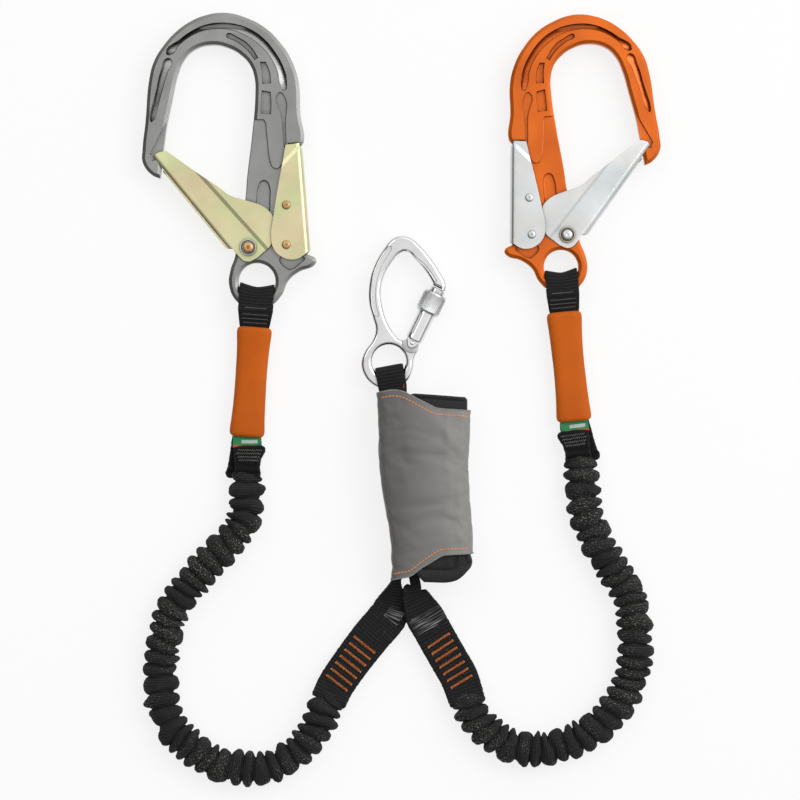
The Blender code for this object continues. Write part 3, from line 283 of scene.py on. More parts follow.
def cloth_material(name, dark, light, yarn, fleck=None, fleck_share=(), rough=0.78, sheen=0.04,
                   bump=0.8, depth=0.00022, ribs=0.0, fleck_scale=1100.0,
                   fleck_shape=(1.0, 1.7, 1.0), painted_side_light=(), gloss=0.12, shade_share=0.85,
                   tone_scale=55.0, tone_part=0.35):
    """Woven webbing or fabric: ribs, yarn cells, fuzz, light flecks and slow changes of tone, with
    painted shade in rib valleys and hollows and, where asked, painted light on one side.
    """
    made, tree, shader = material(
        name, {"Sheen Weight": sheen, "Sheen Roughness": 0.5, "Specular IOR Level": gloss})
    height, tone = weave_height(tree, *yarn)
    slow = texture_noise(tree, tone_scale, 3.0)
    fuzz = texture_noise(tree, 2400.0, 3.0)
    mixed = times(tree, height, 0.45)
    for part, share in ((tone, 0.15), (slow, tone_part), (fuzz, 0.20)):
        mixed = plus(tree, mixed, times(tree, part, share))
    colour = blend_colour(tree, ramp(tree, mixed, [(0.25, 0.0), (0.95, 1.0)]), dark, light)
    if ribs:
        bands = node(tree, "TexWave", {"Vector": scaled(tree, "UV", (180.0, 1000.0, 180.0)),
                                       "Scale": 0.314 / ribs, "Distortion": 2.2, "Detail": 2.0,
                                       "Detail Scale": 0.35}, bands_direction="Y")
        lines = ramp(tree, bands.outputs[1], [(0.25, 0.0), (0.85, 1.0)])
        height = plus(tree, times(tree, height, 0.35), lines)
        # Painted shade: the rib valleys are darkened in the colour.
        low = times(tree, math_node(tree, "SUBTRACT", 1.0, lines), 0.5)
        colour = blend_colour(tree, low, colour, shaded(dark, 0.35))
    if fleck:
        dots = texture_noise(tree, fleck_scale, 1.0, fleck_shape, "UV")
        patch = texture_noise(tree, 32.0, 2.0)
        spots = ramp(tree, dots, [(fleck_share[0], 0.0), (fleck_share[1], 1.0)])
        places = ramp(tree, patch, [(0.42, 0.05), (0.60, 1.0)])
        colour = blend_colour(tree, times(tree, spots, places), colour, fleck)
    # Painted light: the fabric grows lighter towards one side along X, as if lit from there.
    if painted_side_light:
        across = node(tree, "SeparateXYZ", {0: node(tree, "TexCoord").outputs["Object"]})
        place = plus(tree, across.outputs["X"], times(tree, slow, 0.03))
        share = mapped(tree, place, *painted_side_light, end=0.75)
        colour = blend_colour(tree, share, colour, shaded(light, 2.1))
    # Painted shade: darker in hollows, creases and under other parts.
    painted_hollow_shade = painted_shade(tree, 0.0040, 0.25, 0.80, shade_share)
    colour = blend_colour(tree, painted_hollow_shade, colour, shaded(dark, 0.2))
    roughness = mapped(tree, slow, start=rough - 0.1, end=rough + 0.1)
    fine = plus(tree, height, times(tree, fuzz, 0.5))
    finish_material(tree, shader, colour, roughness, fine, bump, depth)
    return made


def rubber_material(name, dark, light):
    """Soft clouds of tone, fine moulded grain, dust and rubbed edges."""
    made, tree, shader = material(name, {"Specular IOR Level": 0.12})
    slow = texture_noise(tree, 26.0, 4.0)
    grain = texture_noise(tree, 1500.0, 3.0)
    dust = texture_noise(tree, 420.0, 2.0)
    colour = blend_colour(tree, ramp(tree, slow, [(0.32, 0.0), (0.68, 1.0)]), dark, light)
    spots = ramp(tree, dust, [(0.70, 0.0), (0.78, 1.0)])
    edge = mapped(tree, node(tree, "NewGeometry").outputs["Pointiness"], 0.52, 0.60)
    pale = tuple(min(1.0, c * 1.25 + 0.03) for c in light)
    for share, most in ((spots, 0.35), (edge, 0.3)):
        colour = blend_colour(tree, times(tree, share, most), colour, pale)
    roughness = mapped(tree, slow, start=0.47, end=0.63)
    height = plus(tree, grain, times(tree, slow, 0.6))
    finish_material(tree, shader, colour, roughness, height, 0.35, 0.00012)
    return made


def thread_material(name, dark, light):
    """Twisted sewing thread."""
    made, tree, shader = material(name, {"Sheen Weight": 0.3})
    twist = texture_noise(tree, 3000.0, 2.0)
    slow = texture_noise(tree, 120.0, 2.0)
    share = plus(tree, times(tree, twist, 0.6), times(tree, slow, 0.4))
    colour = blend_colour(tree, ramp(tree, share, [(0.3, 0.0), (0.7, 1.0)]), dark, light)
    roughness = mapped(tree, slow, start=0.5, end=0.7)
    finish_material(tree, shader, colour, roughness, twist, 0.6, 0.0001)
    return made


def tag_material():
    """Green woven label with plain pale and red bands; UVs run 0 to 1."""
    made, tree, shader = material("woven_tag", {})
    place = node(tree, "SeparateXYZ", {0: node(tree, "TexCoord").outputs["UV"]})
    level = plus(tree, place.outputs["Y"], times(tree, texture_noise(tree, 700.0, 2.0), 0.08))
    red = ramp(tree, level, [(0.20, 1.0), (0.25, 0.0)])
    band = ramp(tree, level, [(0.36, 0.0), (0.39, 1.0), (0.62, 1.0), (0.66, 0.0)])
    inner = ramp(tree, place.outputs["X"], [(0.30, 0.0), (0.33, 1.0), (0.86, 1.0), (0.90, 0.0)])
    weave = texture_noise(tree, 1800.0, 2.0)
    colour = blend_colour(tree, weave, (0.004, 0.155, 0.045), (0.012, 0.27, 0.085))
    pale = times(tree, times(tree, band, inner), 0.75)
    colour = blend_colour(tree, pale, colour, (0.62, 0.66, 0.62))
    colour = blend_colour(tree, red, colour, (0.58, 0.09, 0.02))
    roughness = mapped(tree, weave, start=0.45, end=0.65)
    finish_material(tree, shader, colour, roughness, weave, 0.5, 0.0001)
    return made


# Both forgings carry painted shade in their hollows and painted dark outlines round pockets and
# grooves; the orange one's shade is dark brown.
GREY = metal_material("satin_grey_forging", (0.275, 0.275, 0.27), (0.335, 0.335, 0.325), 0.25, 0.8,
                      outline_shade_share=0.9)
ORANGE = metal_material("gloss_orange_forging", (0.63, 0.112, 0.0015), (0.75, 0.145, 0.003), 0.30,
                        0.55, 0.14, corner_shade=(0.085, 0.015, 0.002), outline_shade_share=0.85)
GOLD = metal_material("yellow_zinc_sheet", (0.63, 0.60, 0.32), (0.76, 0.73, 0.41), 0.30, 0.85,
                      tint=((0.50, 0.66, 0.36), (0.74, 0.52, 0.42)), grain=(1.0, 0.3, 1.0))
SILVER = metal_material("clear_zinc_sheet", (0.61, 0.63, 0.625), (0.73, 0.74, 0.735), 0.28, 0.85,
                        tint=((0.60, 0.67, 0.70), (0.72, 0.68, 0.65)), grain=(1.0, 0.3, 1.0))
COPPER = metal_material("copper_rivet", (0.46, 0.26, 0.10), (0.62, 0.40, 0.18), 0.33, 0.9)
DULL_GOLD = metal_material("yellow_rivet", (0.46, 0.42, 0.30), (0.58, 0.54, 0.40), 0.35, 0.9)
ZINC_RING = metal_material("bright_washer", (0.56, 0.56, 0.54), (0.72, 0.72, 0.70), 0.25, 0.9)
STEEL = metal_material("polished_steel_finish", (0.70, 0.705, 0.70), (0.86, 0.865, 0.86), 0.10, 1.0)
KNURL = metal_material("matt_knurled_steel", (0.55, 0.56, 0.56), (0.72, 0.73, 0.73), 0.28, 1.0)
WIRE = metal_material("spring_wire", (0.25, 0.25, 0.26), (0.40, 0.40, 0.41), 0.35, 1.0)
RUBBER = rubber_material("orange_rubber_sleeve", (0.490, 0.094, 0.005), (0.58, 0.116, 0.007))
WEBBING = cloth_material("black_polyamide_webbing", (0.0075, 0.0075, 0.0080), (0.024, 0.024, 0.026),
                         (1.9, 1.1), (0.14, 0.14, 0.14), (0.70, 0.78), ribs=2.7)
WORN = cloth_material("worn_black_webbing", (0.0075, 0.0075, 0.0080), (0.024, 0.024, 0.026),
                      (1.9, 1.1), (0.26, 0.26, 0.26), (0.47, 0.62), ribs=2.7, fleck_scale=700.0,
                      fleck_shape=(0.30, 1.9, 1.0))
GATHERED = cloth_material("gathered_elastic_webbing", (0.0065, 0.0065, 0.0068),
                          (0.036, 0.0355, 0.035), (1.5, 0.9), (0.22, 0.215, 0.20), (0.57, 0.69),
                          ribs=1.9, depth=0.0004, fleck_scale=620.0)
# The cover grows lighter towards its right side through painted light.
COVER_CLOTH = cloth_material("coated_grey_fabric", (0.078, 0.075, 0.071), (0.138, 0.134, 0.128),
                             (0.9, 0.45), rough=0.55, sheen=0.10, bump=0.35, depth=0.00008,
                             gloss=0.32, shade_share=0.5, tone_scale=14.0, tone_part=0.7,
                             painted_side_light=(0.016, 0.062))
# Painted highlight: a pale cloth for the cover's rims, where their edges catch the light.
HEM_HIGHLIGHT = cloth_material("fabric_edge_painted_highlight", (0.20, 0.19, 0.17), (0.36, 0.35, 0.32), (0.9, 0.45),
                     rough=0.6, gloss=0.25, shade_share=0.3)
BAG_CLOTH = cloth_material("black_bag_fabric", (0.006, 0.006, 0.0062), (0.019, 0.019, 0.020),
                           (1.1, 0.6), rough=0.55, bump=0.5, depth=0.00012, gloss=0.25)
ORANGE_THREAD = thread_material("orange_thread", (0.92, 0.21, 0.015), (1.0, 0.36, 0.04))
PALE_THREAD = thread_material("pale_thread", (0.10, 0.10, 0.095), (0.34, 0.34, 0.31))
RED_THREAD = thread_material("red_thread", (0.40, 0.01, 0.01), (0.62, 0.03, 0.02))
TAG_CLOTH = tag_material()


# Helpers for numbers, places and meshes
def clamp(value, low=0.0):
    return max(low, min(1.0, value))


def bell(offset, width):
    return math.exp(-(offset / width) ** 2)


def cloud(x, y, z):
    """Smooth noise between -1 and 1."""
    return noise.noise(Vector((x, y, z)))


def square_to(run):
    """The direction to the left of a run on the plan."""
    return Vector((-run.y, run.x))


def fitted(point, side, scale):
    """A point of the left hook's outline, as it lies on the hook of that side and scale."""
    return Vector((point[0] * side * scale, point[1] * scale))


def stand_at(spot, z, turn_deg=0.0):
    """Puts a mesh that is built round the origin at a spot of the layout."""
    place = Matrix.Translation((Vector((*spot, z)) + SHIFT) * MM)
    return place @ Matrix.Rotation(math.radians(turn_deg), 4, "Z")


def new_piece(name, mesh, look, replaced=(), smooth_deg=35.0, flats=False, body="lanyard"):
    """A piece of the object, at rest where its mesh says; flats shade as flat faces."""
    mesh.shade_smooth()
    mesh.set_sharp_from_angle(angle=math.radians(smooth_deg))
    if flats:
        mesh = modified(mesh, "WEIGHTED_NORMAL", keep_sharp=True, weight=100)
    mesh.materials.clear()
    mesh.materials.append(look)
    made = linked(name, mesh)
    if replaced:
        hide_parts(*replaced)
    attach(made, body)
    return made


def evaluated(holder):
    """The mesh of an object with its modifiers applied; the object is removed."""
    depsgraph = bpy.context.evaluated_depsgraph_get()
    mesh = bpy.data.meshes.new_from_object(holder.evaluated_get(depsgraph))
    bpy.data.objects.remove(holder, do_unlink=True)
    return mesh


def modified(mesh, kind, **props):
    """The mesh after one modifier with the given settings."""
    holder = linked("work", mesh)
    step = holder.modifiers.new("step", kind)
    for key, value in props.items():
        setattr(step, key, value)
    return evaluated(holder)


def welded(mesh, distance=0.000004):
    with editing(mesh) as work:
        bmesh.ops.remove_doubles(work, verts=work.verts, dist=distance)
        bmesh.ops.recalc_face_normals(work, faces=work.faces)
    return mesh


def plate_mesh(outlines, thickness, edge_r, side, scale, resolution, edge_steps=3):
    """A flat piece with rounded edges, centred on z = 0; a third entry marks a corner."""
    curve = bpy.data.curves.new("outline", "CURVE")
    curve.dimensions = "2D"
    curve.fill_mode = "BOTH"
    curve.extrude = (thickness / 2 - edge_r) * MM
    curve.bevel_depth = edge_r * MM
    curve.bevel_resolution = edge_steps if edge_r else 0
    curve.offset = -edge_r * MM
    for points in outlines:
        spline = curve.splines.new("BEZIER")
        spline.bezier_points.add(len(points) - 1)
        spline.use_cyclic_u = True
        spline.resolution_u = resolution
        for knot, point in zip(spline.bezier_points, points):
            kind = "VECTOR" if len(point) == 3 else "AUTO"
            knot.co = (point[0] * side * scale * MM, point[1] * scale * MM, 0.0)
            knot.handle_left_type = kind
            knot.handle_right_type = kind
    return welded(evaluated(linked("work", curve)))


def moved(mesh, x=0.0, y=0.0, z=0.0):
    mesh.transform(Matrix.Translation(Vector((x, y, z)) * MM))
    return mesh


def joined(meshes):
    """One mesh of several."""
    made = bpy.data.meshes.new("joined")
    with editing(made) as work:
        for mesh in meshes:
            work.from_mesh(mesh)
    return made


def cut_mesh(mesh, cutters, mode="DIFFERENCE"):
    """The mesh with all the cutters, which don't touch each other, taken out of it."""
    tool = linked("tool", joined(cutters))
    made = modified(mesh, "BOOLEAN", operation=mode, solver="EXACT", object=tool)
    bpy.data.objects.remove(tool, do_unlink=True)
    return made


def softened(mesh, width, limit_deg=50.0):
    """Small rounded edges where faces meet sharply."""
    return modified(mesh, "BEVEL", width=width * MM, segments=2, limit_method="ANGLE",
                    angle_limit=math.radians(limit_deg), use_clamp_overlap=True)


def turned_mesh(profile, steps=48):
    """A profile of (radius, height) points turned about Z."""
    mesh = bpy.data.meshes.new("turned")
    mesh.from_pydata([(r * MM, 0.0, z * MM) for r, z in profile],
                     [(i, i + 1) for i in range(len(profile) - 1)], [])
    mesh = modified(mesh, "SCREW", steps=steps, render_steps=steps, use_merge_vertices=True,
                    merge_threshold=0.00001)
    return welded(mesh, 0.000001)


def cylinder_mesh(radius, z_low, z_high, centre=(0.0, 0.0), sides=40):
    mesh = bpy.data.meshes.new("cylinder")
    with editing(mesh) as work:
        bmesh.ops.create_cone(work, cap_ends=True, segments=sides, radius1=radius * MM,
                              radius2=radius * MM, depth=(z_high - z_low) * MM)
    return moved(mesh, *centre, (z_low + z_high) / 2)


def box_mesh(low, high):
    mesh = bpy.data.meshes.new("box")
    with editing(mesh) as work:
        bmesh.ops.create_cube(work, size=1.0)
        bmesh.ops.scale(work, verts=work.verts, vec=(Vector(high) - Vector(low)) * MM)
    return moved(mesh, *((Vector(high) + Vector(low)) / 2))


def ring_points(radius):
    turns = [math.pi * i / 8 for i in range(16)]
    return [(radius * math.cos(a), radius * math.sin(a)) for a in turns]


def loft_mesh(rings, across, along, caps=True, loop=False):
    """Quads between rings of points in millimetres, with UVs in metres."""
    mesh = bpy.data.meshes.new("loft")
    with editing(mesh) as work:
        layer = work.loops.layers.uv.new("UVMap")
        rows = [[work.verts.new(Vector(p) * MM) for p in ring] for ring in rings]
        count = len(rows[0])
        for r in range(len(rows) if loop else len(rows) - 1):
            here, ahead = rows[r], rows[(r + 1) % len(rows)]
            for i in range(count):
                j = (i + 1) % count
                face = work.faces.new((here[i], here[j], ahead[j], ahead[i]))
                spots = ((i, r), (i + 1, r), (i + 1, r + 1), (i, r + 1))
                for corner, (u, v) in zip(face.loops, spots):
                    corner[layer].uv = (across[u] * MM, along[v] * MM)
        if caps and not loop:
            for r, ring in ((0, rows[0]), (len(rows) - 1, rows[-1])):
                face = work.faces.new(ring)
                for i, corner in enumerate(face.loops):
                    corner[layer].uv = (across[i] * MM, along[r] * MM)
        bmesh.ops.recalc_face_normals(work, faces=work.faces)
    return mesh


def lengths(points):
    """Distance along the points at each of them."""
    reach = [0.0]
    for a, b in zip(points, points[1:]):
        reach.append(reach[-1] + (Vector(b) - Vector(a)).length)
    return reach


def catmull(values, index, t):
    """A smooth value between values[index] and values[index + 1]; numbers or vectors."""
    last = len(values) - 1
    p0, p1, p2, p3 = [values[min(max(index + k, 0), last)] for k in (-1, 0, 1, 2)]
    return 0.5 * (2 * p1 + (p2 - p0) * t + (2 * p0 - 5 * p1 + 4 * p2 - p3) * t * t
                  + (3 * p1 - p0 - 3 * p2 + p3) * t ** 3)


def even_route(points, count):
    """Evenly spaced points on a smooth curve through the given points, and its length."""
    knots = [Vector(p) for p in points]
    dense = [catmull(knots, i, step / 24) for i in range(len(knots) - 1) for step in range(24)]
    dense.append(knots[-1])
    reach = lengths(dense)
    even = []
    cursor = 0
    for index in range(count):
        goal = reach[-1] * index / (count - 1)
        while cursor < len(reach) - 2 and reach[cursor + 1] < goal:
            cursor += 1
        share = (goal - reach[cursor]) / (reach[cursor + 1] - reach[cursor])
        even.append(dense[cursor].lerp(dense[cursor + 1], min(1.0, share)))
    return even, reach[-1]


def strap_mesh(rows, thickness, columns, step, wander, seed, smooth=False, swell=None,
               dip=None):
    """A strap through rows of (centre, side vector, width): round edges, faint waviness.

    swell(to_end) gives factors of thickness and width, and dip(from_start, x) an
    offset of the point at x, from -1 to 1 across the strap.
    """
    tracks = [[Vector(r[0]) for r in rows], [Vector(r[1]).normalized() for r in rows],
              [float(r[2]) for r in rows]]
    fine = []
    for i in range(len(rows) - 1):
        gap = (tracks[0][i + 1] - tracks[0][i]).length
        parts = max(2, int(math.ceil(gap / step)))
        for k in range(parts):
            t = k / parts
            if smooth:
                fine.append([catmull(track, i, t) for track in tracks])
            else:
                fine.append([track[i] + (track[i + 1] - track[i]) * t for track in tracks])
    fine.append([track[-1] for track in tracks])
    reach = lengths([f[0] for f in fine])
    profile = [(-1.0 + 2.0 * k / columns, 1.0 if 0 < k < columns else 0.45)
               for k in range(columns + 1)]
    profile += [(x, -z) for x, z in reversed(profile)]
    rings = []
    for i, (centre, side, width) in enumerate(fine):
        run = (fine[min(i + 1, len(fine) - 1)][0] - fine[max(i - 1, 0)][0]).normalized()
        side = (side - run * side.dot(run)).normalized()
        up = side.cross(run).normalized()
        thick, wide = swell(reach[-1] - reach[i]) if swell else (1.0, 1.0)
        ring = []
        for x, z in profile:
            sway = cloud(x * 1.3 + seed, reach[i] * 0.11, seed * 3.1) * wander
            trim = cloud(seed + 9.0, reach[i] * 0.45, x) * wander * 0.8
            spot = centre + side * (x * (width * wide / 2 + trim * abs(x))) \
                + up * (z * thickness * thick / 2 + sway)
            ring.append(spot + SHIFT + (dip(reach[i], x) if dip else Vector()))
        rings.append(ring)
    half_w = tracks[2][0] / 2
    return loft_mesh(rings, [x * half_w for x, _ in profile] + [-half_w], reach)


def tube_mesh(points, radius, resolution=1, closed=False):
    """A round tube along points in millimetres."""
    curve = bpy.data.curves.new("tube", "CURVE")
    curve.dimensions = "3D"
    curve.bevel_depth = radius * MM
    curve.bevel_resolution = resolution
    curve.use_fill_caps = True
    spline = curve.splines.new("POLY")
    spline.points.add(len(points) - 1)
    spline.use_cyclic_u = closed
    for knot, point in zip(spline.points, points):
        knot.co = (*(Vector(point) * MM), 1.0)
    return welded(evaluated(linked("work", curve)))


# Hooks: outlines from the centre of the eye, finer than the CAD's at the arch and the pockets
HOOK_BODY_T = 12.0
HOOK_EDGE_R = 2.6
CHAMFER_H = 1.6
PLATE_T = 1.5
GAP = 0.4
SEAT = 0.3
HOOK_MID_Z = 11.1
GATE_HALF = HOOK_BODY_T / 2 + GAP + PLATE_T
LEVER_HALF = GATE_HALF + GAP + PLATE_T
HOOK_EYE_R = 14.8
HOOK_EYE_RING = 7.4
GATE_PIN_R = 3.2
LEVER_PIN_R = 2.6
LEVER_PRESS_DEG = 5.0
HOOKS = {
    "left": {"eye": (-114.7, 62.7), "turn": 0.0, "side": 1, "scale": 1.0, "crease": 1.45},
    "right": {"eye": (128.2, 74.2), "turn": 3.8, "side": -1, "scale": 0.934, "crease": 1.0},
}
HOOK_OUTLINE = [
    (-77.4, 82.2, "c"), (-84.4, 85.5), (-91.2, 95.0), (-91.4, 105.0), (-89.0, 127.4),
    (-85.9, 162.1), (-82.4, 175.3), (-75.2, 187.5), (-64.0, 199.9), (-50.7, 208.9), (-40.8, 212.6),
    (-30.3, 214.5), (-20.0, 213.9), (-9.9, 211.0), (5.4, 203.3), (18.6, 190.6), (27.8, 176.3),
    (33.0, 160.0), (34.5, 133.4), (37.2, 112.0), (35.2, 108.6, "c"), (26.6, 108.0, "c"),
    (27.6, 92.0), (30.6, 62.0), (35.8, 27.5), (39.8, 22.2), (47.2, 17.4), (45.6, 13.2),
    (33.9, 8.2), (24.8, 0.6), (19.4, -11.0), (9.0, -20.4), (-5.0, -22.2), (-16.4, -15.6),
    (-22.2, -3.0), (-21.0, 9.6), (-17.6, 19.4), (-16.4, 27.5), (-15.0, 36.0), (-11.4, 53.3),
    (-9.0, 68.0), (-7.9, 82.4), (-3.8, 117.1), (-1.3, 148.7), (-1.8, 162.1), (-5.4, 172.8),
    (-12.0, 180.4), (-22.2, 186.5), (-36.0, 189.2), (-50.7, 185.0), (-58.9, 176.3), (-63.5, 165.0),
    (-68.2, 143.7), (-72.6, 122.2), (-74.7, 105.9),
]
GROOVE_OUTLINE = [
    (-72.6, 182.0), (-61.0, 193.7), (-50.7, 200.8), (-40.6, 205.0), (-29.3, 206.6), (-15.0, 205.0),
    (-3.8, 200.6), (6.4, 193.0), (15.6, 181.6), (21.0, 171.6), (24.0, 160.0), (21.9, 152.0),
    (18.6, 156.0), (15.8, 168.2), (9.6, 180.2), (0.3, 190.0), (-12.0, 197.6), (-24.2, 201.0),
    (-36.5, 201.0), (-48.7, 197.6), (-61.0, 189.4), (-69.4, 180.4),
]
NOSE_GROOVE = [(-71.6, 178.4), (-76.8, 168.0), (-80.6, 152.0), (-85.4, 128.4),
               (-83.8, 127.0), (-76.0, 150.0), (-71.4, 166.0), (-67.6, 175.6)]
NOSE_FACET = [(-71.7, 129.1, "c"), (-85.5, 101.5, "c"), (-83.4, 96.0, "c"), (-70.0, 100.0, "c"),
              (-66.0, 125.0, "c")]
WINDOW_POCKETS = [
    [(-24.6, 197.0), (-14.0, 194.4), (-5.0, 187.6), (1.2, 178.4, "c"), (-1.8, 176.6, "c"),
     (-8.0, 184.6), (-16.0, 191.0)],
    [(2.4, 175.2, "c"), (7.0, 175.4, "c"), (10.4, 167.0), (11.2, 158.0, "c"), (4.2, 157.6, "c"),
     (4.0, 166.0)],
    [(3.8, 152.6, "c"), (11.0, 151.2, "c"), (11.6, 142.0), (11.2, 133.4, "c"), (3.0, 133.8, "c"),
     (3.2, 142.0)],
]
TONGUE_LINE = [(17.4, 150.9), (21.6, 148.9), (23.0, 125.3), (22.9, 106.9), (21.9, 106.9),
               (19.8, 129.3)]
SHANK_RECESS = [(-20.0, 129.4, "c"), (5.4, 129.4, "c"), (6.8, 127.7), (8.0, 119.0), (11.5, 93.7),
                (13.4, 90.9), (16.6, 90.5), (19.8, 94.1), (21.0, 101.0, "c"), (40.0, 101.0, "c"),
                (40.0, 46.0, "c"), (-30.0, 46.0, "c")]
SLOT_POCKET = [(-1.2, 50.0, "c"), (-0.4, 66.0), (0.8, 76.0), (3.6, 80.6), (7.4, 80.6), (10.4, 76.0),
               (10.8, 66.0), (10.2, 50.0, "c")]
LOBE_POCKET = [(18.0, 19.0), (37.0, 20.0), (38.4, 17.8), (36.4, 15.6), (26.4, 8.9), (24.4, 9.4)]
GATE_PIVOT = (-6.9, 27.0)
LEVER_PIVOT = (23.5, 29.1)
LATCH_PIN = (23.5, 60.7)
GATE_OUTLINE = [
    (-83.4, 98.5, "c"), (-79.8, 102.1), (-72.2, 104.1, "c"), (-48.7, 87.3, "c"),
    (-30.3, 75.0, "c"), (-22.2, 68.9), (-9.9, 64.8), (6.4, 58.7), (13.0, 51.0), (13.2, 40.0),
    (11.5, 29.6), (4.4, 22.5), (-1.8, 17.6), (-8.4, 15.8), (-15.0, 20.5), (-19.6, 26.4, "c"),
    (-25.8, 27.6, "c"), (-77.6, 90.6, "c"),
]
GATE_WEB = [(-77.6, 90.6), (-25.8, 27.6)]
GATE_BEND_R = 5.0
GATE_NOTCH = 3.6
LEVER_OUTLINE = [
    (23.0, 108.8, "c"), (35.2, 110.4, "c"), (36.4, 102.1), (38.6, 72.5), (42.1, 26.0, "c"),
    (38.4, 21.6), (33.6, 18.4), (27.8, 17.3), (20.6, 19.2), (13.8, 25.5), (11.5, 35.7),
    (13.4, 52.1), (16.6, 72.5), (19.7, 89.8),
]
LEVER_WEB = [(35.2, 110.4), (36.5, 101.0), (38.6, 72.5), (42.1, 26.0)]
LEVER_BEND_R = 4.4
LEVER_NOTCH = 4.0
CREASE = ((-47.6, 87.6), (6.4, 27.6))
CREASE_LOW = -0.7
CREASE_HIGH = 0.35
LEVER_FOLD = ((20.6, 93.4), (34.8, 108.6))
LEVER_FOLD_HALF_W = 1.5
LEVER_CORNER = -0.85
ROOM_PAST = 60.0
ROOM_DEEP = 140.0
BORE_PLAY = 0.2
SMALL_HEAD_R = 3.4
SMALL_HEAD_T = 0.9
GATE_HEAD_R = 4.6
GATE_HEAD_T = 1.6
GATE_RING_R = 6.6


def away_from(line, point):
    """The distance from a point to a line of points."""
    least = 1000.0
    for a, b in zip(line, line[1:]):
        a, b = Vector(a), Vector(b)
        share = clamp((point - a).dot(b - a) / (b - a).length_squared)
        least = min(least, (point - a.lerp(b, share)).length)
    return least


def bend_edges(work, line, half, radius, side, scale):
    """Rounds the two long edges of a channel's closed side that run along line."""
    picked = []
    spots = [fitted(point, side, scale) * MM for point in line]
    for edge in work.edges:
        ends = [v.co for v in edge.verts]
        if abs(ends[0].z - ends[1].z) > 1e-6 or abs(abs(ends[0].z) - half * MM) > 1e-6:
            continue
        near = 0
        for end in ends:
            for a, b in zip(spots, spots[1:]):
                along = (b - a).normalized()
                offset = end.xy - a
                reach = offset.dot(along)
                away = (offset - along * reach).length
                if away < 0.0005 and -0.0006 < reach < (b - a).length + 0.0006:
                    near += 1
                    break
        if near == 2:
            picked.append(edge)
    bmesh.ops.bevel(work, geom=picked, offset=radius * MM, offset_type="OFFSET",
                    segments=10, profile=0.5, affect="EDGES", clamp_overlap=True)


def merged_flats(work, limit):
    """Makes coplanar faces into single ones."""
    bmesh.ops.dissolve_limit(work, angle_limit=limit, verts=work.verts, edges=work.edges,
                             use_dissolve_boundaries=False)


def without_big_faces(work):
    bmesh.ops.triangulate(work, faces=[f for f in work.faces if len(f.verts) > 4])


def channel_room(line, inward, half, radius, side, scale, start):
    """A wide solid on the inner side of line, its two long edges there rounded."""
    first, last = Vector(line[0]), Vector(line[-1])
    run = (last - first).normalized()
    ahead = first - run * ROOM_PAST + inward * start
    past = last + run * ROOM_PAST
    corners = [ahead, *([first + inward * start] if start else []), *[Vector(p) for p in line],
               past, past + inward * ROOM_DEEP, ahead + inward * ROOM_DEEP]
    mesh = plate_mesh([[(p.x, p.y, "c") for p in corners]], 2 * half, 0.0, side, scale, 2)
    with editing(mesh) as work:
        merged_flats(work, 0.01)
        bend_edges(work, [*line, past] if start else [ahead, *line, past], half, radius, side,
                   scale)
        without_big_faces(work)
    return mesh


def channel_mesh(outline, line, half, bend_r, side, scale, holes, notch):
    """A folded sheet channel, open away from line; its web starts notch along the line."""
    first, last = Vector(line[0]), Vector(line[-1])
    run = (last - first).normalized()
    inward = square_to(run)
    centre = Vector(outline[len(outline) // 2][:2])
    if (centre - first).dot(inward) < 0:
        inward = -inward
    spread = []
    for point in outline:
        place = Vector(point[:2])
        if away_from(line, place) < 0.3:
            place = place - inward * 1.5
        spread.append((place.x, place.y, *point[2:]))
    plate = plate_mesh([spread], 2 * half + 4.0, 0.0, side, scale, 4)
    outer = cut_mesh(plate, [channel_room(line, inward, half, bend_r, side, scale, 0.0)],
                     "INTERSECT")
    near = [Vector(p) + inward * PLATE_T / scale for p in line]
    near[0] = near[0] + (near[1] - near[0]).normalized() * notch
    inside = channel_room([(p.x, p.y) for p in near], inward, half - PLATE_T,
                          bend_r - PLATE_T, side, scale, -30.0)
    made = cut_mesh(outer, [inside])
    bores = [cylinder_mesh(radius, -2 * half, 2 * half, fitted(point, side, scale), 28)
             for point, radius in holes]
    made = cut_mesh(made, bores)
    with editing(made) as work:
        merged_flats(work, 0.006)
    return made


def sliced(work, spot, normal):
    """Adds edges where a plane through the spot crosses the mesh."""
    bmesh.ops.bisect_plane(work, geom=work.verts[:] + work.edges[:] + work.faces[:],
                           dist=0.000001, plane_co=spot, plane_no=normal)


def pressed_step(mesh, line, half_w, low, high, side, scale):
    """Bends a sheet's faces along a line: one side moves out by low, the other by high."""
    a, b = (fitted(point, side, scale) * MM for point in line)
    run = (b - a).normalized()
    across = square_to(run) * side
    with editing(mesh) as work:
        for offset in (-half_w, half_w):
            sliced(work, (a + across * offset * MM).to_3d(), across.to_3d())
        for vert in work.verts:
            away = (vert.co.xy - a).dot(across) / (half_w * MM)
            share = (clamp(away, -1.0) + 1.0) / 2
            if abs(vert.co.z) > HOOK_BODY_T / 2 * MM:
                lift = low + (high - low) * share
                vert.co.z += math.copysign(1.0, vert.co.z) * lift * MM
    return mesh


def rivet_profile(shank_r, head_r, half, head_t, dimple):
    """A domed rivet head on each end of a shank, with a dimple in its middle."""
    dome = [(0.0, head_t * (1.0 - dimple)), (head_r * 0.16, head_t * (1.0 - dimple)),
            (head_r * 0.26, head_t * 0.99), (head_r * 0.45, head_t), (head_r * 0.70, head_t * 0.88),
            (head_r * 0.88, head_t * 0.62), (head_r * 0.98, head_t * 0.25), (head_r, 0.0)]
    top = [(r, half + z) for r, z in dome]
    return top + [(shank_r, half)] + [(shank_r, -half)] + [(r, -z) for r, z in reversed(top)]


def sunk(outlines, half, side, scale, resolution=4, steps=1):
    """Cutters for pockets in both faces, from (outline, depth, edge radius) entries."""
    return [moved(plate_mesh([outline], 2 * depth, edge, side, scale, resolution, steps),
                  z=face * half) for outline, depth, edge in outlines for face in (1, -1)]


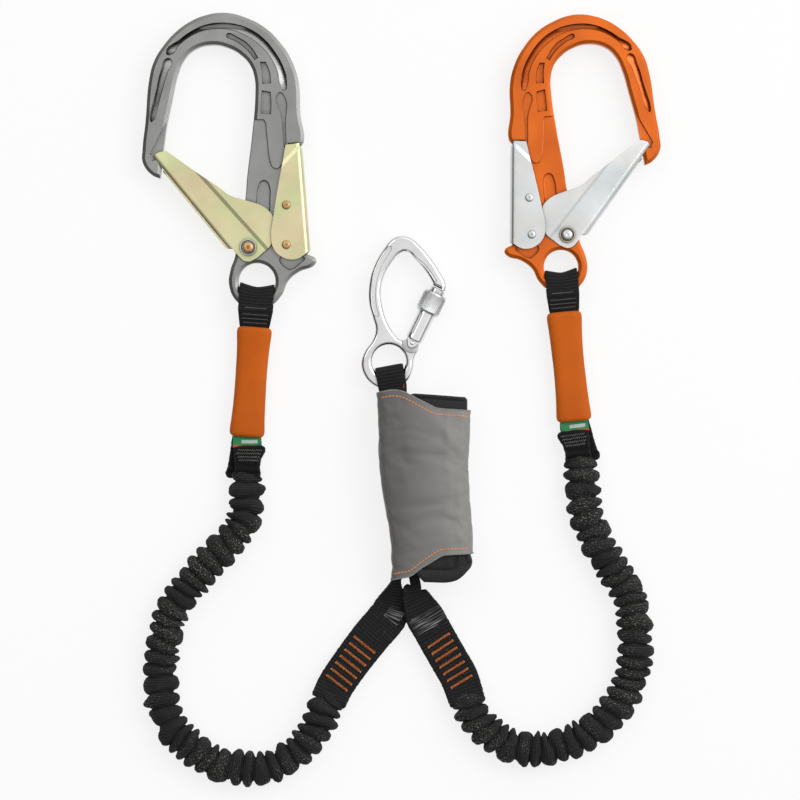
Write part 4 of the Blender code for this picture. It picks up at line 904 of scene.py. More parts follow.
def groove_tool(outline, outer_count, depth, shallow, side, scale):
    """A cutter for a groove that is deep at the hook's outer side and slopes up inward."""
    mesh = plate_mesh([outline], 2 * depth, 0.7, side, scale, 5, 2)
    outer, inner = outline[:outer_count], outline[outer_count:]
    for vert in mesh.vertices:
        if abs(vert.co.z) > (depth - 0.65) * MM:
            spot = Vector((vert.co.x * side, vert.co.y)) / (MM * scale)
            from_outer, from_inner = away_from(outer, spot), away_from(inner, spot)
            lift = (depth - shallow) * from_outer / (from_outer + from_inner)
            vert.co.z = math.copysign(abs(vert.co.z) - lift * MM, vert.co.z)
    return mesh


def hook_body_mesh(side, scale):
    half = HOOK_BODY_T / 2
    body = plate_mesh([HOOK_OUTLINE, ring_points(HOOK_EYE_R)], HOOK_BODY_T, HOOK_EDGE_R, side,
                      scale, 6, 0)
    for vert in body.vertices:
        if abs(vert.co.z) < (half - HOOK_EDGE_R + 0.1) * MM:
            vert.co.z = math.copysign((half - CHAMFER_H) * MM, vert.co.z)
    gate_at, lever_at, latch_at = [fitted(point, side, scale)
                                   for point in (GATE_PIVOT, LEVER_PIVOT, LATCH_PIN)]
    body = cut_mesh(body, sunk([(SHANK_RECESS, 1.2, 0.8), (NOSE_FACET, 1.5, 0.8)], half, side,
                               scale))
    deep = []
    for face in (1, -1):
        deep.append(moved(groove_tool(GROOVE_OUTLINE, 11, 3.6, 1.1, side, scale), z=face * half))
        deep.append(moved(groove_tool(NOSE_GROOVE, 4, 2.8, 1.0, side, scale), z=face * half))
    troughs = [(SLOT_POCKET, 2.9, 1.7), (LOBE_POCKET, 2.2, 0.9), (TONGUE_LINE, 1.2, 0.8),
               *[(pocket, 2.4, 1.3) for pocket in WINDOW_POCKETS]]
    body = cut_mesh(body, deep + sunk(troughs, half, side, scale, 5, 3))
    travel = (latch_at - lever_at).length * math.radians(LEVER_PRESS_DEG)
    reach = LEVER_PIN_R * scale + 0.5
    slot = box_mesh((latch_at[0] + min(0.0, -side * travel) - reach, latch_at[1] - reach, -12.0),
                    (latch_at[0] + max(0.0, -side * travel) + reach, latch_at[1] + reach, 12.0))
    pins = ((GATE_PIN_R, gate_at), (LEVER_PIN_R, lever_at))
    bores = [cylinder_mesh(pin * scale + BORE_PLAY, -12.0, 12.0, at) for pin, at in pins]
    body = cut_mesh(body, [*bores, slot])
    wells = [cylinder_mesh((pin + 1.1) * scale + 2.0, half - 4.6, 12.0, at) for pin, at in pins]
    return softened(cut_mesh(body, wells), 0.40, 42.0)


def make_hook(tag, body_look, sheet_look, rivet_look, ring_look, gate_dimple, slots):
    side, scale = HOOKS[tag]["side"], HOOKS[tag]["scale"]
    stand = stand_at(HOOKS[tag]["eye"], HOOK_MID_Z, HOOKS[tag]["turn"])

    def place(mesh, name, look, body, slot, node_name, smooth_deg=35.0):
        mesh.transform(stand)
        new_piece(f"{tag}_{name}", mesh, look, [f"{tag}_{node_name}"], smooth_deg, True,
                  f"{tag}_{body}")

    place(hook_body_mesh(side, scale), "forged_hook", body_look, "hook", slots[0], "hook_body",
          21.0)
    gate = channel_mesh(GATE_OUTLINE, GATE_WEB, GATE_HALF, GATE_BEND_R, side, scale,
                        [(GATE_PIVOT, GATE_PIN_R * scale + BORE_PLAY)], GATE_NOTCH)
    gate = pressed_step(gate, CREASE, HOOKS[tag]["crease"], CREASE_LOW, CREASE_HIGH, side, scale)
    place(softened(gate, 0.22), "folded_gate", sheet_look, "gate", slots[1], "gate", 13.0)
    lever = channel_mesh(LEVER_OUTLINE, LEVER_WEB, LEVER_HALF, LEVER_BEND_R, side, scale,
                         [(p, LEVER_PIN_R * scale + BORE_PLAY) for p in (LEVER_PIVOT, LATCH_PIN)],
                         LEVER_NOTCH)
    lever = pressed_step(lever, LEVER_FOLD, LEVER_FOLD_HALF_W, 0.0, LEVER_CORNER, side, scale)
    place(softened(lever, 0.25), "folded_lever", sheet_look, "lever", slots[1], "lock_lever",
          13.0)
    for name, at, shank, body in (("gate_rivet", GATE_PIVOT, GATE_PIN_R, "hook"),
                                  ("lever_rivet", LEVER_PIVOT, LEVER_PIN_R, "hook"),
                                  ("latch_rivet", LATCH_PIN, LEVER_PIN_R, "lever")):
        head, half, head_t, hollow = (SMALL_HEAD_R, LEVER_HALF + SEAT, SMALL_HEAD_T, 0.3)
        if at is GATE_PIVOT:
            head, half, head_t, hollow = (GATE_HEAD_R, GATE_HALF + 1.6, GATE_HEAD_T, gate_dimple)
        mesh = turned_mesh(rivet_profile(shank * scale, head * scale, half, head_t, hollow))
        mesh = moved(mesh, *fitted(at, side, scale))
        place(mesh, f"{name}_head", rivet_look, body, "rivet", name)
    base = GATE_HALF + SEAT
    foot = base + CREASE_LOW
    hole = GATE_PIN_R * scale + BORE_PLAY
    rim = GATE_RING_R * scale
    ring = [(rim, base + 0.8), (rim, foot), (hole, foot), (hole, base + 0.3),
            (rim - 1.5, base + 0.4), (rim - 0.8, base + 1.1), (rim - 0.3, base + 1.1),
            (rim, base + 0.8)]
    for face, level in ((1, "upper"), (-1, "lower")):
        mesh = moved(turned_mesh([(r, z * face) for r, z in ring]),
                     *fitted(GATE_PIVOT, side, scale))
        place(mesh, f"gate_ring_{level}", ring_look, "hook", "rivet", f"gate_washer_{level}")


def wired(*names):
    """Gives CAD pieces that show in gaps the look of spring wire."""
    for name in names:
        NODES[name].data.materials.clear()
        NODES[name].data.materials.append(WIRE)


make_hook("left", GREY, GOLD, COPPER, ZINC_RING, 0.45, ("grey_hook", "gold_zinc"))
make_hook("right", ORANGE, SILVER, ZINC_RING, DULL_GOLD, 0.12, ("orange_hook", "silver_zinc"))
for tag in HOOKS:
    wired(f"{tag}_gate_spring", f"{tag}_lever_spring")

# Carabiner, from the centre of its eye
CARA_EYE = (-9.4, -1.3)
CARA_T = 10.5
CARA_EDGE_R = 3.0
CARA_MID_Z = 9.9
CARA_EYE_R = 13.4
CARA_PIVOT = (18.6, 14.9)
CARA_GATE_DIR = (0.4347, 0.9006)
CARA_GATE_R = 7.3
CARA_GATE_LEN = 48.2
CARA_GATE_START = 2.4
CARA_TIP_R = 6.2
CARA_TIP_LEN = 4.6
CARA_TONGUE = 2.3
CARA_PIN_R = 1.6
CARA_TURN = math.atan2(CARA_GATE_DIR[1], CARA_GATE_DIR[0])
SLEEVE_R = 9.4
SLEEVE_LEN = 17.0
SLEEVE_REST = 27.0
CARA_OUTLINE = [
    (45.0, 56.4, "c"), (45.8, 61.0), (40.7, 72.0), (33.0, 83.3), (25.1, 92.8), (17.4, 98.9),
    (9.5, 100.6), (2.6, 98.1), (-4.3, 90.2), (-12.2, 76.3), (-16.1, 60.7), (-16.1, 46.9),
    (-13.0, 34.7), (-10.9, 26.1), (-13.0, 17.5), (-19.1, 8.6), (-22.2, -0.9), (-20.5, -9.5),
    (-14.5, -17.5), (-4.5, -22.2), (5.5, -21.8), (14.0, -16.4), (18.8, -7.5), (20.2, 2.0),
    (23.4, 10.2), (23.2, 16.4), (19.6, 19.6), (15.0, 18.6), (10.0, 17.4), (4.3, 22.6),
    (-1.8, 33.0), (-5.2, 45.1), (-6.3, 57.3), (-3.4, 69.5), (2.6, 79.6), (8.5, 86.2),
    (14.0, 87.6), (21.7, 80.8), (30.3, 70.6), (35.7, 61.1, "c"),
]
SPINE_LINE = [(1.6, 92.2), (0.9, 90.1), (-5.9, 79.7), (-10.7, 66.9), (-12.3, 53.3), (-11.1, 41.3),
              (-8.7, 35.7)]
SPINE_HALF_W = 1.9
NOSE_LINE = [(14.9, 89.3), (20.9, 83.3), (28.1, 77.3), (33.7, 70.5), (38.1, 63.7)]
NOSE_HALF_W = 0.9


def stroke_outline(line, half_w):
    """The outline of a smooth line drawn with the given half width, tapered at its ends."""
    points, _ = even_route([(x, y, 0.0) for x, y in line], 9)
    left, right = [], []
    for i, point in enumerate(points):
        run = (points[min(i + 1, 8)] - points[max(i - 1, 0)]).normalized()
        across = square_to(run) * half_w * (0.35 if i in (0, 8) else 1.0)
        left.append(tuple(point.xy + across))
        right.append(tuple(point.xy - across))
    return left + right[::-1]


def along_gate(mesh):
    """Turns a mesh built up the Z axis so that it runs along the carabiner's gate."""
    mesh.transform(Matrix.Rotation(CARA_TURN, 4, "Z") @ Matrix.Rotation(math.pi / 2, 4, "Y"))
    return mesh


def gate_box(along, across, heights):
    """A box along the gate; across is positive on the outer side of the carabiner."""
    mesh = box_mesh((along[0], -across[1], heights[0]), (along[1], -across[0], heights[1]))
    mesh.transform(Matrix.Rotation(CARA_TURN, 4, "Z"))
    return mesh


def knurled_mesh(radius, bore, length, ribs, depth, chamfer):
    """A sleeve with fine ribs round it, a plain band and a chamfer at each end."""
    count = ribs * 4
    wave = (0.0, 0.6, 1.0, 0.6)
    ends = [(radius - chamfer, 0.0, 0.0), (radius - 0.15, chamfer, 0.0),
            (radius - 0.15, chamfer + 0.9, 0.0), (radius, chamfer + 1.3, depth)]
    levels = ends + [(r, length - z, amount) for r, z, amount in reversed(ends)]
    rings = []
    for r, z, amount in levels + [(bore, length, 0.0), (bore, 0.0, 0.0)]:
        turns = [(2 * math.pi * i / count, r - amount * wave[i % 4]) for i in range(count)]
        rings.append([(out * math.cos(a), out * math.sin(a), z) for a, out in turns])
    return loft_mesh(rings, [0.0] * (count + 1), [0.0] * 12, loop=True)


def make_carabiner():
    stand = stand_at(CARA_EYE, CARA_MID_Z)
    at_pivot = stand @ Matrix.Translation(Vector((*CARA_PIVOT, 0.0)) * MM)
    half = CARA_T / 2

    def place(mesh, name, replaced, body, smooth_deg=35.0, flats=True, look=STEEL):
        new_piece(name, mesh, look, [replaced], smooth_deg, flats, body)

    body = plate_mesh([CARA_OUTLINE, ring_points(CARA_EYE_R)], CARA_T, CARA_EDGE_R, 1, 1.0, 8, 4)
    cheeks = [cylinder_mesh(8.4, low, high, CARA_PIVOT, 64)
              for low, high in ((CARA_TONGUE, half + 1.0), (-half - 1.0, -CARA_TONGUE))]
    body = cut_mesh(body, cheeks)
    bore_r = CARA_PIN_R + BORE_PLAY
    body = cut_mesh(body, [cylinder_mesh(bore_r, -half - 1.0, half + 1.0, CARA_PIVOT)])
    strips = [(stroke_outline(SPINE_LINE, SPINE_HALF_W), 0.7, 0.4),
              (stroke_outline(NOSE_LINE, NOSE_HALF_W), 0.6, 0.4)]
    body = softened(cut_mesh(body, sunk(strips, half, 1, 1.0, 4, 2)), 0.3, 60.0)
    body.transform(stand)
    place(body, "carabiner_frame", "carabiner_body", "carabiner", 40.0)

    tip = CARA_GATE_LEN - CARA_TIP_LEN
    profile = [(0.0, CARA_GATE_LEN), (CARA_TIP_R - 1.4, CARA_GATE_LEN),
               (CARA_TIP_R - 0.5, CARA_GATE_LEN - 0.3), (CARA_TIP_R, CARA_GATE_LEN - 1.0),
               (CARA_TIP_R, tip + 0.2), (CARA_GATE_R - 0.4, tip - 0.2), (CARA_GATE_R, tip - 0.8),
               (CARA_GATE_R, CARA_GATE_START + 1.4), (CARA_GATE_R - 0.5, CARA_GATE_START + 0.4),
               (CARA_GATE_R - 1.4, CARA_GATE_START), (0.0, CARA_GATE_START)]
    gate = along_gate(turned_mesh(profile, 64))
    cheek = plate_mesh([[(-4.4, 0.0), (0.0, -4.4), (4.4, 0.0), (4.4, 6.0, "c"),
                         (-4.4, 6.0, "c")]], CARA_T - 0.2, 0.8, 1, 1.0, 8, 3)
    cheek.transform(Matrix.Rotation(CARA_TURN - math.pi / 2, 4, "Z"))
    gate = cut_mesh(gate, [cheek], "UNION")
    slot = CARA_TONGUE + SEAT
    bore = turned_mesh([(0.0, 26.0), (2.6, 26.0), (2.6, 3.0), (0.0, 3.0)], 32)
    for cutter in (gate_box((-12.0, 5.4), (-12.0, 12.0), (-slot, slot)),
                   cylinder_mesh(bore_r, -half - 1, half + 1, sides=32), along_gate(bore),
                   gate_box((7.0, SLEEVE_REST - 2.2), (-4.5, -2.3), (5.2, 9.0))):
        gate = cut_mesh(gate, [cutter])
    gate = softened(gate, 0.25)
    gate.transform(at_pivot)
    place(gate, "carabiner_gate_tube", "carabiner_gate", "carabiner_gate")

    pin = turned_mesh([(0.0, half - 0.1), (1.1, half - 0.15), (CARA_PIN_R, half - 0.5),
                       (CARA_PIN_R, 0.5 - half), (1.1, 0.15 - half), (0.0, 0.1 - half)], 32)
    pin.transform(at_pivot)
    place(pin, "carabiner_hinge_pin", "carabiner_gate_pin", "carabiner", flats=False)
    sleeve = along_gate(knurled_mesh(SLEEVE_R, CARA_GATE_R + 0.2, SLEEVE_LEN, 44, 0.42, 0.9))
    direction = Vector((*CARA_GATE_DIR, 0.0))
    sleeve.transform(at_pivot @ Matrix.Translation(direction * SLEEVE_REST * MM))
    place(sleeve, "carabiner_lock_nut", "carabiner_lock_sleeve", "lock_sleeve", 50.0, False,
          KNURL)
    wired("carabiner_gate_plunger", "carabiner_gate_spring")


make_carabiner()

# Soft goods below the hooks: hook loops, grip sleeves, tags and sewn cuffs
STRAP_T = 1.8
LOOP_APEX_DROP = 3.5
LOOP_DIP = 1.6
LOOP_TOP_W = 27.4
LOOP_MOUTH_W = 23.8
LOOP_INSIDE_W = 21.4
STRAP_CLEAR = 0.6
GRIP_LEN = 88.0
GRIP_END_W = 27.4
GRIP_WAIST_W = 25.4
GRIP_H = 15.5
GRIP_WALL = 1.2
GRIP_MOUTH_SPREAD = 2.4
GRIP_Z = GRIP_H / 2 + 0.3
CUFF_T = 11.0
GRIPS = {
    "left": {"top": (-116.8, 26.4), "turn": -4.2, "cuff_turn": 0.0, "side": 1},
    "right": {"top": (130.6, 38.6), "turn": 5.5, "cuff_turn": 7.5, "side": -1},
}


def foot_of(facts):
    """The lower end of a sleeve on the plan."""
    turn = math.radians(facts["turn"])
    return Vector(facts["top"]) + Vector((math.sin(turn), -math.cos(turn))) * GRIP_LEN


def strap_width(hole_r, drop, high, half_t):
    """The widest strap that turns inside a round eye, its fold drop below the centre."""
    free_y = drop + high - math.sqrt(high ** 2 - half_t ** 2) + STRAP_T
    return 2 * (math.sqrt(hole_r ** 2 - free_y ** 2) - 0.5)


def loop_rows(start, apex, reach, clear, high, z_start, z_apex, w_start, w_apex, mouth,
              w_inside=99.0):
    """Rows of a strap that runs from start over a ring's bar to apex and back below it."""
    length = (apex - start).length
    run = (apex - start) / length
    side = Vector((run.y, -run.x, 0.0))
    table = [(max(0.0, length - mouth - below), spread) for below, spread in reach]
    table += [(length - clear, high), (length - high, high)]

    def row(at, rise):
        spot = start + run * at
        share = clamp((at - (length - mouth)) / (mouth - clear))
        z = z_start + (z_apex - z_start) * share + rise
        width = w_start + (w_apex - w_start) * share
        return ((spot.x, spot.y, z), side, min(width, w_inside) if share <= 0.0 else width)

    rows = [row(at, spread) for at, spread in table]
    for step in range(1, 8):
        angle = math.pi / 2 - math.pi * step / 8
        rows.append(row(length - high + high * math.cos(angle), high * math.sin(angle)))
    rows += [row(at, -spread) for at, spread in reversed(table)]
    return rows


def section(half_w, half_h, count, power):
    """A rounded rectangle between an ellipse (power 2) and a box (a high power)."""
    points = []
    for index in range(count):
        angle = 2 * math.pi * (index + 0.5) / count
        points.append(tuple(half * math.copysign(abs(part) ** (2 / power), part)
                            for half, part in ((half_w, math.cos(angle)),
                                               (half_h, math.sin(angle)))))
    return points


def tree_of(piece):
    """A search tree over a piece, in millimetres."""
    return BVHTree.FromPolygons([v.co / MM for v in piece.data.vertices],
                                [p.vertices[:] for p in piece.data.polygons])


def stitched(tree, runs, radius, lift, above=True):
    """Threads that follow each run of (x, y) points over the surface of the piece."""
    sign = 1.0 if above else -1.0
    made = []
    for run in runs:
        hits = [tree.ray_cast(Vector((x, y, sign * 80.0)), Vector((0.0, 0.0, -sign)))[0]
                for x, y in run]
        points = [(x, y, hit.z + sign * lift) for (x, y), hit in zip(run, hits)
                  if hit is not None]
        if len(points) > 1:
            made.append(tube_mesh(points, radius))
    return joined(made)


def zigzag(first, last, width, pitch, seed):
    """A zigzag between two points, a little uneven."""
    a, b = Vector(first), Vector(last)
    run = (b - a).normalized()
    across = square_to(run)
    count = max(4, int((b - a).length / pitch))
    rng = random.Random(seed)
    points = []
    for i in range(count + 1):
        swing = width / 2 * (1 if i % 2 else -1) * rng.uniform(0.8, 1.15)
        spot = a.lerp(b, i / count) + across * swing
        points.append((spot.x, spot.y))
    return points


def dashes(line, length, gap):
    """Short runs of points along a line, as running stitches."""
    reach = lengths([(x, y, 0.0) for x, y in line])

    def at(goal):
        for i in range(len(line) - 1):
            if reach[i + 1] >= goal:
                share = (goal - reach[i]) / max(1e-6, reach[i + 1] - reach[i])
                return tuple(Vector(line[i]).lerp(Vector(line[i + 1]), share))
        return line[-1]

    runs = []
    start = 0.4
    while start + length < reach[-1]:
        runs.append([at(start + length * k / 3) for k in range(4)])
        start += length + gap
    return runs


def make_hook_loop(tag):
    facts = GRIPS[tag]
    scale = HOOKS[tag]["scale"]
    eye = HOOKS[tag]["eye"]
    top = Vector(facts["top"])
    high = HOOK_BODY_T / 2 + STRAP_CLEAR + STRAP_T / 2
    apex = Vector((eye[0], eye[1] - LOOP_APEX_DROP))
    start = foot_of(facts)
    run = (apex - start).normalized()
    reach = [(GRIP_LEN, STRAP_T / 2 + 0.3), (GRIP_LEN / 2, STRAP_T / 2 + 0.3),
             (4.0, GRIP_MOUTH_SPREAD), (-2.0, GRIP_MOUTH_SPREAD)]
    ring_r = (HOOK_EYE_R + HOOK_EYE_RING) * scale
    rows = loop_rows(start, apex, reach, ring_r - LOOP_APEX_DROP + 0.8, high, GRIP_Z, HOOK_MID_Z,
                     LOOP_MOUTH_W, LOOP_TOP_W * scale, (apex - top).length, LOOP_INSIDE_W)
    lift = run.to_3d() * LOOP_DIP
    half_way = lengths([r[0] for r in rows])[-1] / 2

    def dip(at, x):
        near = bell(at - half_way, 12.0)
        return lift * (near * (2.0 * abs(x) ** 1.4 - 1.0))

    mesh = strap_mesh(rows, STRAP_T, 18, 0.9, 0.16, 3 + facts["side"], dip=dip)
    strap = new_piece(f"{tag}_hook_loop", mesh, WEBBING, [f"{tag}_hook_strap"], 60.0)
    across = Vector((run.y, -run.x))
    runs = []
    for index, (below, share) in enumerate(((15.0, 0.36), (9.8, 0.43), (6.4, 0.44), (3.2, 0.40))):
        centre = top + run * below + SHIFT.xy
        half = across * LOOP_MOUTH_W * share
        runs.append(zigzag(centre - half, centre + half, 0.6, 0.8, index))
    mesh = stitched(tree_of(strap), runs, 0.14, 0.05)
    new_piece(f"{tag}_loop_stitches", mesh, PALE_THREAD)


def make_grip(tag):
    facts = GRIPS[tag]
    wide, waist = GRIP_END_W / 2, GRIP_WAIST_W / 2
    levels = [(0.0, wide - 3.6), (0.15, wide - 2.5), (0.6, wide - 1.4), (1.5, wide - 0.4),
              (2.8, wide + 0.1), (4.6, wide + 0.3), (8.0, wide + 0.1), (14.0, wide - 0.4),
              (24.0, wide - 0.9), (34.0, waist - 0.1), (44.0, waist - 0.2)]
    levels += [(GRIP_LEN - at, half) for at, half in reversed(levels[:-1])]
    shapes = [(at, half_w, GRIP_H / 2 - (wide - half_w) * 0.6, 3.4) for at, half_w in levels]
    inner_w, inner_h = waist - GRIP_WALL, GRIP_H / 2 - GRIP_WALL - 0.4
    for at, flare in ((GRIP_LEN - 0.4, 0.5), (GRIP_LEN - 3.0, 0.0), (GRIP_LEN / 2, 0.0),
                      (3.0, 0.0), (0.4, 0.5)):
        shapes.append((at, inner_w + flare, inner_h, 4.0))
    rings = [[(x, -at, z) for x, z in section(half_w, half_h, 64, power)]
             for at, half_w, half_h, power in shapes]
    mesh = loft_mesh(rings, [0.0] * 65, [0.0] * (len(rings) + 2), loop=True)
    for vert in mesh.vertices:
        x, y, z = vert.co / MM
        push = cloud(x * 0.05, y * 0.035, z * 0.05 + facts["side"] * 7.0) * 0.3
        ends = clamp(min(-y, GRIP_LEN + y) / 6.0)
        vert.co += Vector((x / wide, 0.0, 2.0 * z / GRIP_H)) * push * ends * MM
    mesh.transform(stand_at(facts["top"], GRIP_Z, facts["turn"]))
    new_piece(f"{tag}_rubber_grip", mesh, RUBBER, [f"{tag}_grip_sleeve"], 60.0)


# Sewn cuffs, from the foot of each grip: outlines of the layers, back to front
CUFF_BACK = [(-10.6, 4.0, "c"), (10.4, 4.0, "c"), (11.6, -2.0), (11.8, -14.0), (10.6, -24.0),
             (9.6, -30.0), (2.0, -29.0), (-8.8, -32.6), (-14.6, -32.9), (-17.0, -30.4),
             (-15.4, -24.0), (-13.6, -14.0), (-12.0, -2.0)]
CUFF_FRONT = [(-10.2, -8.4, "c"), (-4.0, -7.2), (6.0, -7.0), (13.6, -7.6), (15.2, -10.2),
              (13.4, -15.0), (11.2, -20.0), (10.6, -26.0), (11.4, -30.6), (9.0, -33.2),
              (-2.0, -32.4), (-8.8, -31.6), (-9.6, -24.0), (-10.2, -16.0)]


def cuff_layer(outline, z_low, z_high, side, seed):
    """A puffed fabric layer of the given outline, gathered towards its lower end."""
    thick = z_high - z_low
    mesh = plate_mesh([outline], thick, min(1.6, thick * 0.42), side, 1.0, 8, 3)
    with editing(mesh) as work:
        for offset in range(-34, 4):
            sliced(work, (0.0, offset * MM, 0.0), (0.0, 1.0, 0.0))
        for offset in range(-15, 16, 2):
            sliced(work, (offset * MM, 0.0, 0.0), (1.0, 0.0, 0.0))
        without_big_faces(work)
        for vert in work.verts:
            x, y, z = vert.co / MM
            low = clamp((-y - 17.0) / 10.0)
            bend = 2.4 * cloud(x * 0.12, seed, 0.0)
            wave = math.sin(-y * 2 * math.pi / 6.2 + bend)
            rows = math.cos((-y - 10.6) * 2 * math.pi / 2.65) if 9.0 < -y < 20.0 else 0.0
            puff = low * 0.95 * wave - 0.22 * rows
            if y < -3.0:
                puff += 0.5 * cloud(x * 0.16, y * 0.16, seed)
            if abs(z) > thick * 0.2:
                vert.co.z += math.copysign(0.8, z) * puff * MM
            vert.co.x += cloud(y * 0.5, seed + 5.0, x * 0.05) * 0.35 * MM
        layer = work.loops.layers.uv.new("UVMap")
        for face in work.faces:
            for corner in face.loops:
                corner[layer].uv = corner.vert.co.xy
    return moved(mesh, z=(z_low + z_high) / 2)


def tag_mesh():
    """A thin woven label with faint waves, UVs from 0 to 1."""
    columns, rows = 24, 8
    half_w, length, top, thick = 11.2, 10.4, 1.6, 0.5
    mesh = bpy.data.meshes.new("tag")
    with editing(mesh) as work:
        layer = work.loops.layers.uv.new("UVMap")
        grid = {}
        for side in (0, 1):
            for r in range(rows + 1):
                for c in range(columns + 1):
                    x = -half_w + 2 * half_w * c / columns
                    free = 1 - r / rows
                    bow = 0.25 * math.sin(c * 0.55) * free
                    spot = Vector((x, top - length * free, side * thick + bow))
                    grid[side, r, c] = work.verts.new(spot * MM)
        for r in range(rows):
            for c in range(columns):
                for side in (0, 1):
                    spots = [(r, c), (r, c + 1), (r + 1, c + 1), (r + 1, c)]
                    face = work.faces.new([grid[side, a, b] for a, b in spots])
                    for corner, (a, b) in zip(face.loops, spots):
                        corner[layer].uv = (b / columns, a / rows)
        rim = [(0, c) for c in range(columns)] + [(r, columns) for r in range(rows)]
        rim += [(rows - r, columns - c) for r, c in rim]
        for (a, b), (c, d) in zip(rim, rim[1:] + rim[:1]):
            work.faces.new([grid[0, a, b], grid[0, c, d], grid[1, c, d], grid[1, a, b]])
        bmesh.ops.recalc_face_normals(work, faces=work.faces)
    return mesh


def make_cuff(tag):
    facts = GRIPS[tag]
    side = facts["side"]
    stand = stand_at(foot_of(facts), GRIP_Z, facts["cuff_turn"])
    back = cuff_layer(CUFF_BACK, -CUFF_T / 2, 1.2, side, 2.0)
    front = cuff_layer(CUFF_FRONT, 1.0, CUFF_T / 2 + 0.6, side, 6.0)
    mesh = joined([back, front])
    mesh.transform(stand)
    cuff = new_piece(f"{tag}_folded_cuff", mesh, WEBBING, [f"{tag}_sewn_cuff"], 50.0)
    label = moved(tag_mesh(), 0.2 * side, 0.0, 1.9)
    label.transform(stand)
    new_piece(f"{tag}_woven_tag", label, TAG_CLOTH, [f"{tag}_inspection_tag"], 50.0)
    runs = []
    for index, (low, x0, x1) in enumerate(((-10.6, -6.6, 12.6), (-13.2, -8.0, 11.6),
                                           (-16.0, -6.8, 10.4), (-18.6, -6.0, 9.6))):
        first, last = [(stand @ (Vector((x * side, y, 0.0)) * MM) / MM).xy
                       for x, y in ((x0, low), (x1, low - 0.3))]
        runs.append(zigzag(first, last, 1.4, 0.85, index + 11))
    mesh = stitched(tree_of(cuff), runs, 0.19, 0.10)
    new_piece(f"{tag}_cuff_stitches", mesh, PALE_THREAD)


for tag in GRIPS:
    make_hook_loop(tag)
    make_grip(tag)
    make_cuff(tag)

# Elastic legs: gathered tubular webbing, with the routes of the CAD
ELASTIC_W = 28.0
ELASTIC_FLAT = 0.72
ELASTIC_Z = ELASTIC_W / 2 * ELASTIC_FLAT
ELASTIC = {
    "left": {"ribs": 38, "route": [
        (-123.2, -94.8), (-123.2, -106.0), (-123.6, -118.0), (-127.6, -130.6), (-135.0, -141.6),
        (-149.7, -158.4), (-163.0, -172.6), (-173.1, -186.1), (-183.0, -203.0), (-188.9, -219.0),
        (-191.6, -237.0), (-192.3, -257.0), (-189.6, -278.0), (-181.4, -295.6), (-167.0, -311.4),
        (-147.0, -322.4), (-124.6, -327.0), (-104.2, -325.0), (-84.6, -315.0), (-70.6, -298.4),
        (-62.6, -283.0), (-57.3, -272.3)]},
    "right": {"ribs": 35, "route": [
        (143.4, -82.1), (144.9, -93.5), (146.6, -107.0), (150.0, -126.8), (157.4, -145.8),
        (168.0, -163.0), (178.6, -180.0), (184.8, -199.0), (187.2, -220.0), (186.4, -241.3),
        (181.4, -263.0), (171.0, -281.0), (157.0, -294.6), (137.0, -305.4), (113.0, -311.0),
        (90.0, -309.0), (72.0, -300.4), (60.4, -287.0), (52.9, -272.6)]},
}
RIB_SIDES = 44
RIB_ROWS = 18
RIB_VALLEY = 0.68
RIB_SHARE = 0.82
ELASTIC_TUCK = 6.0


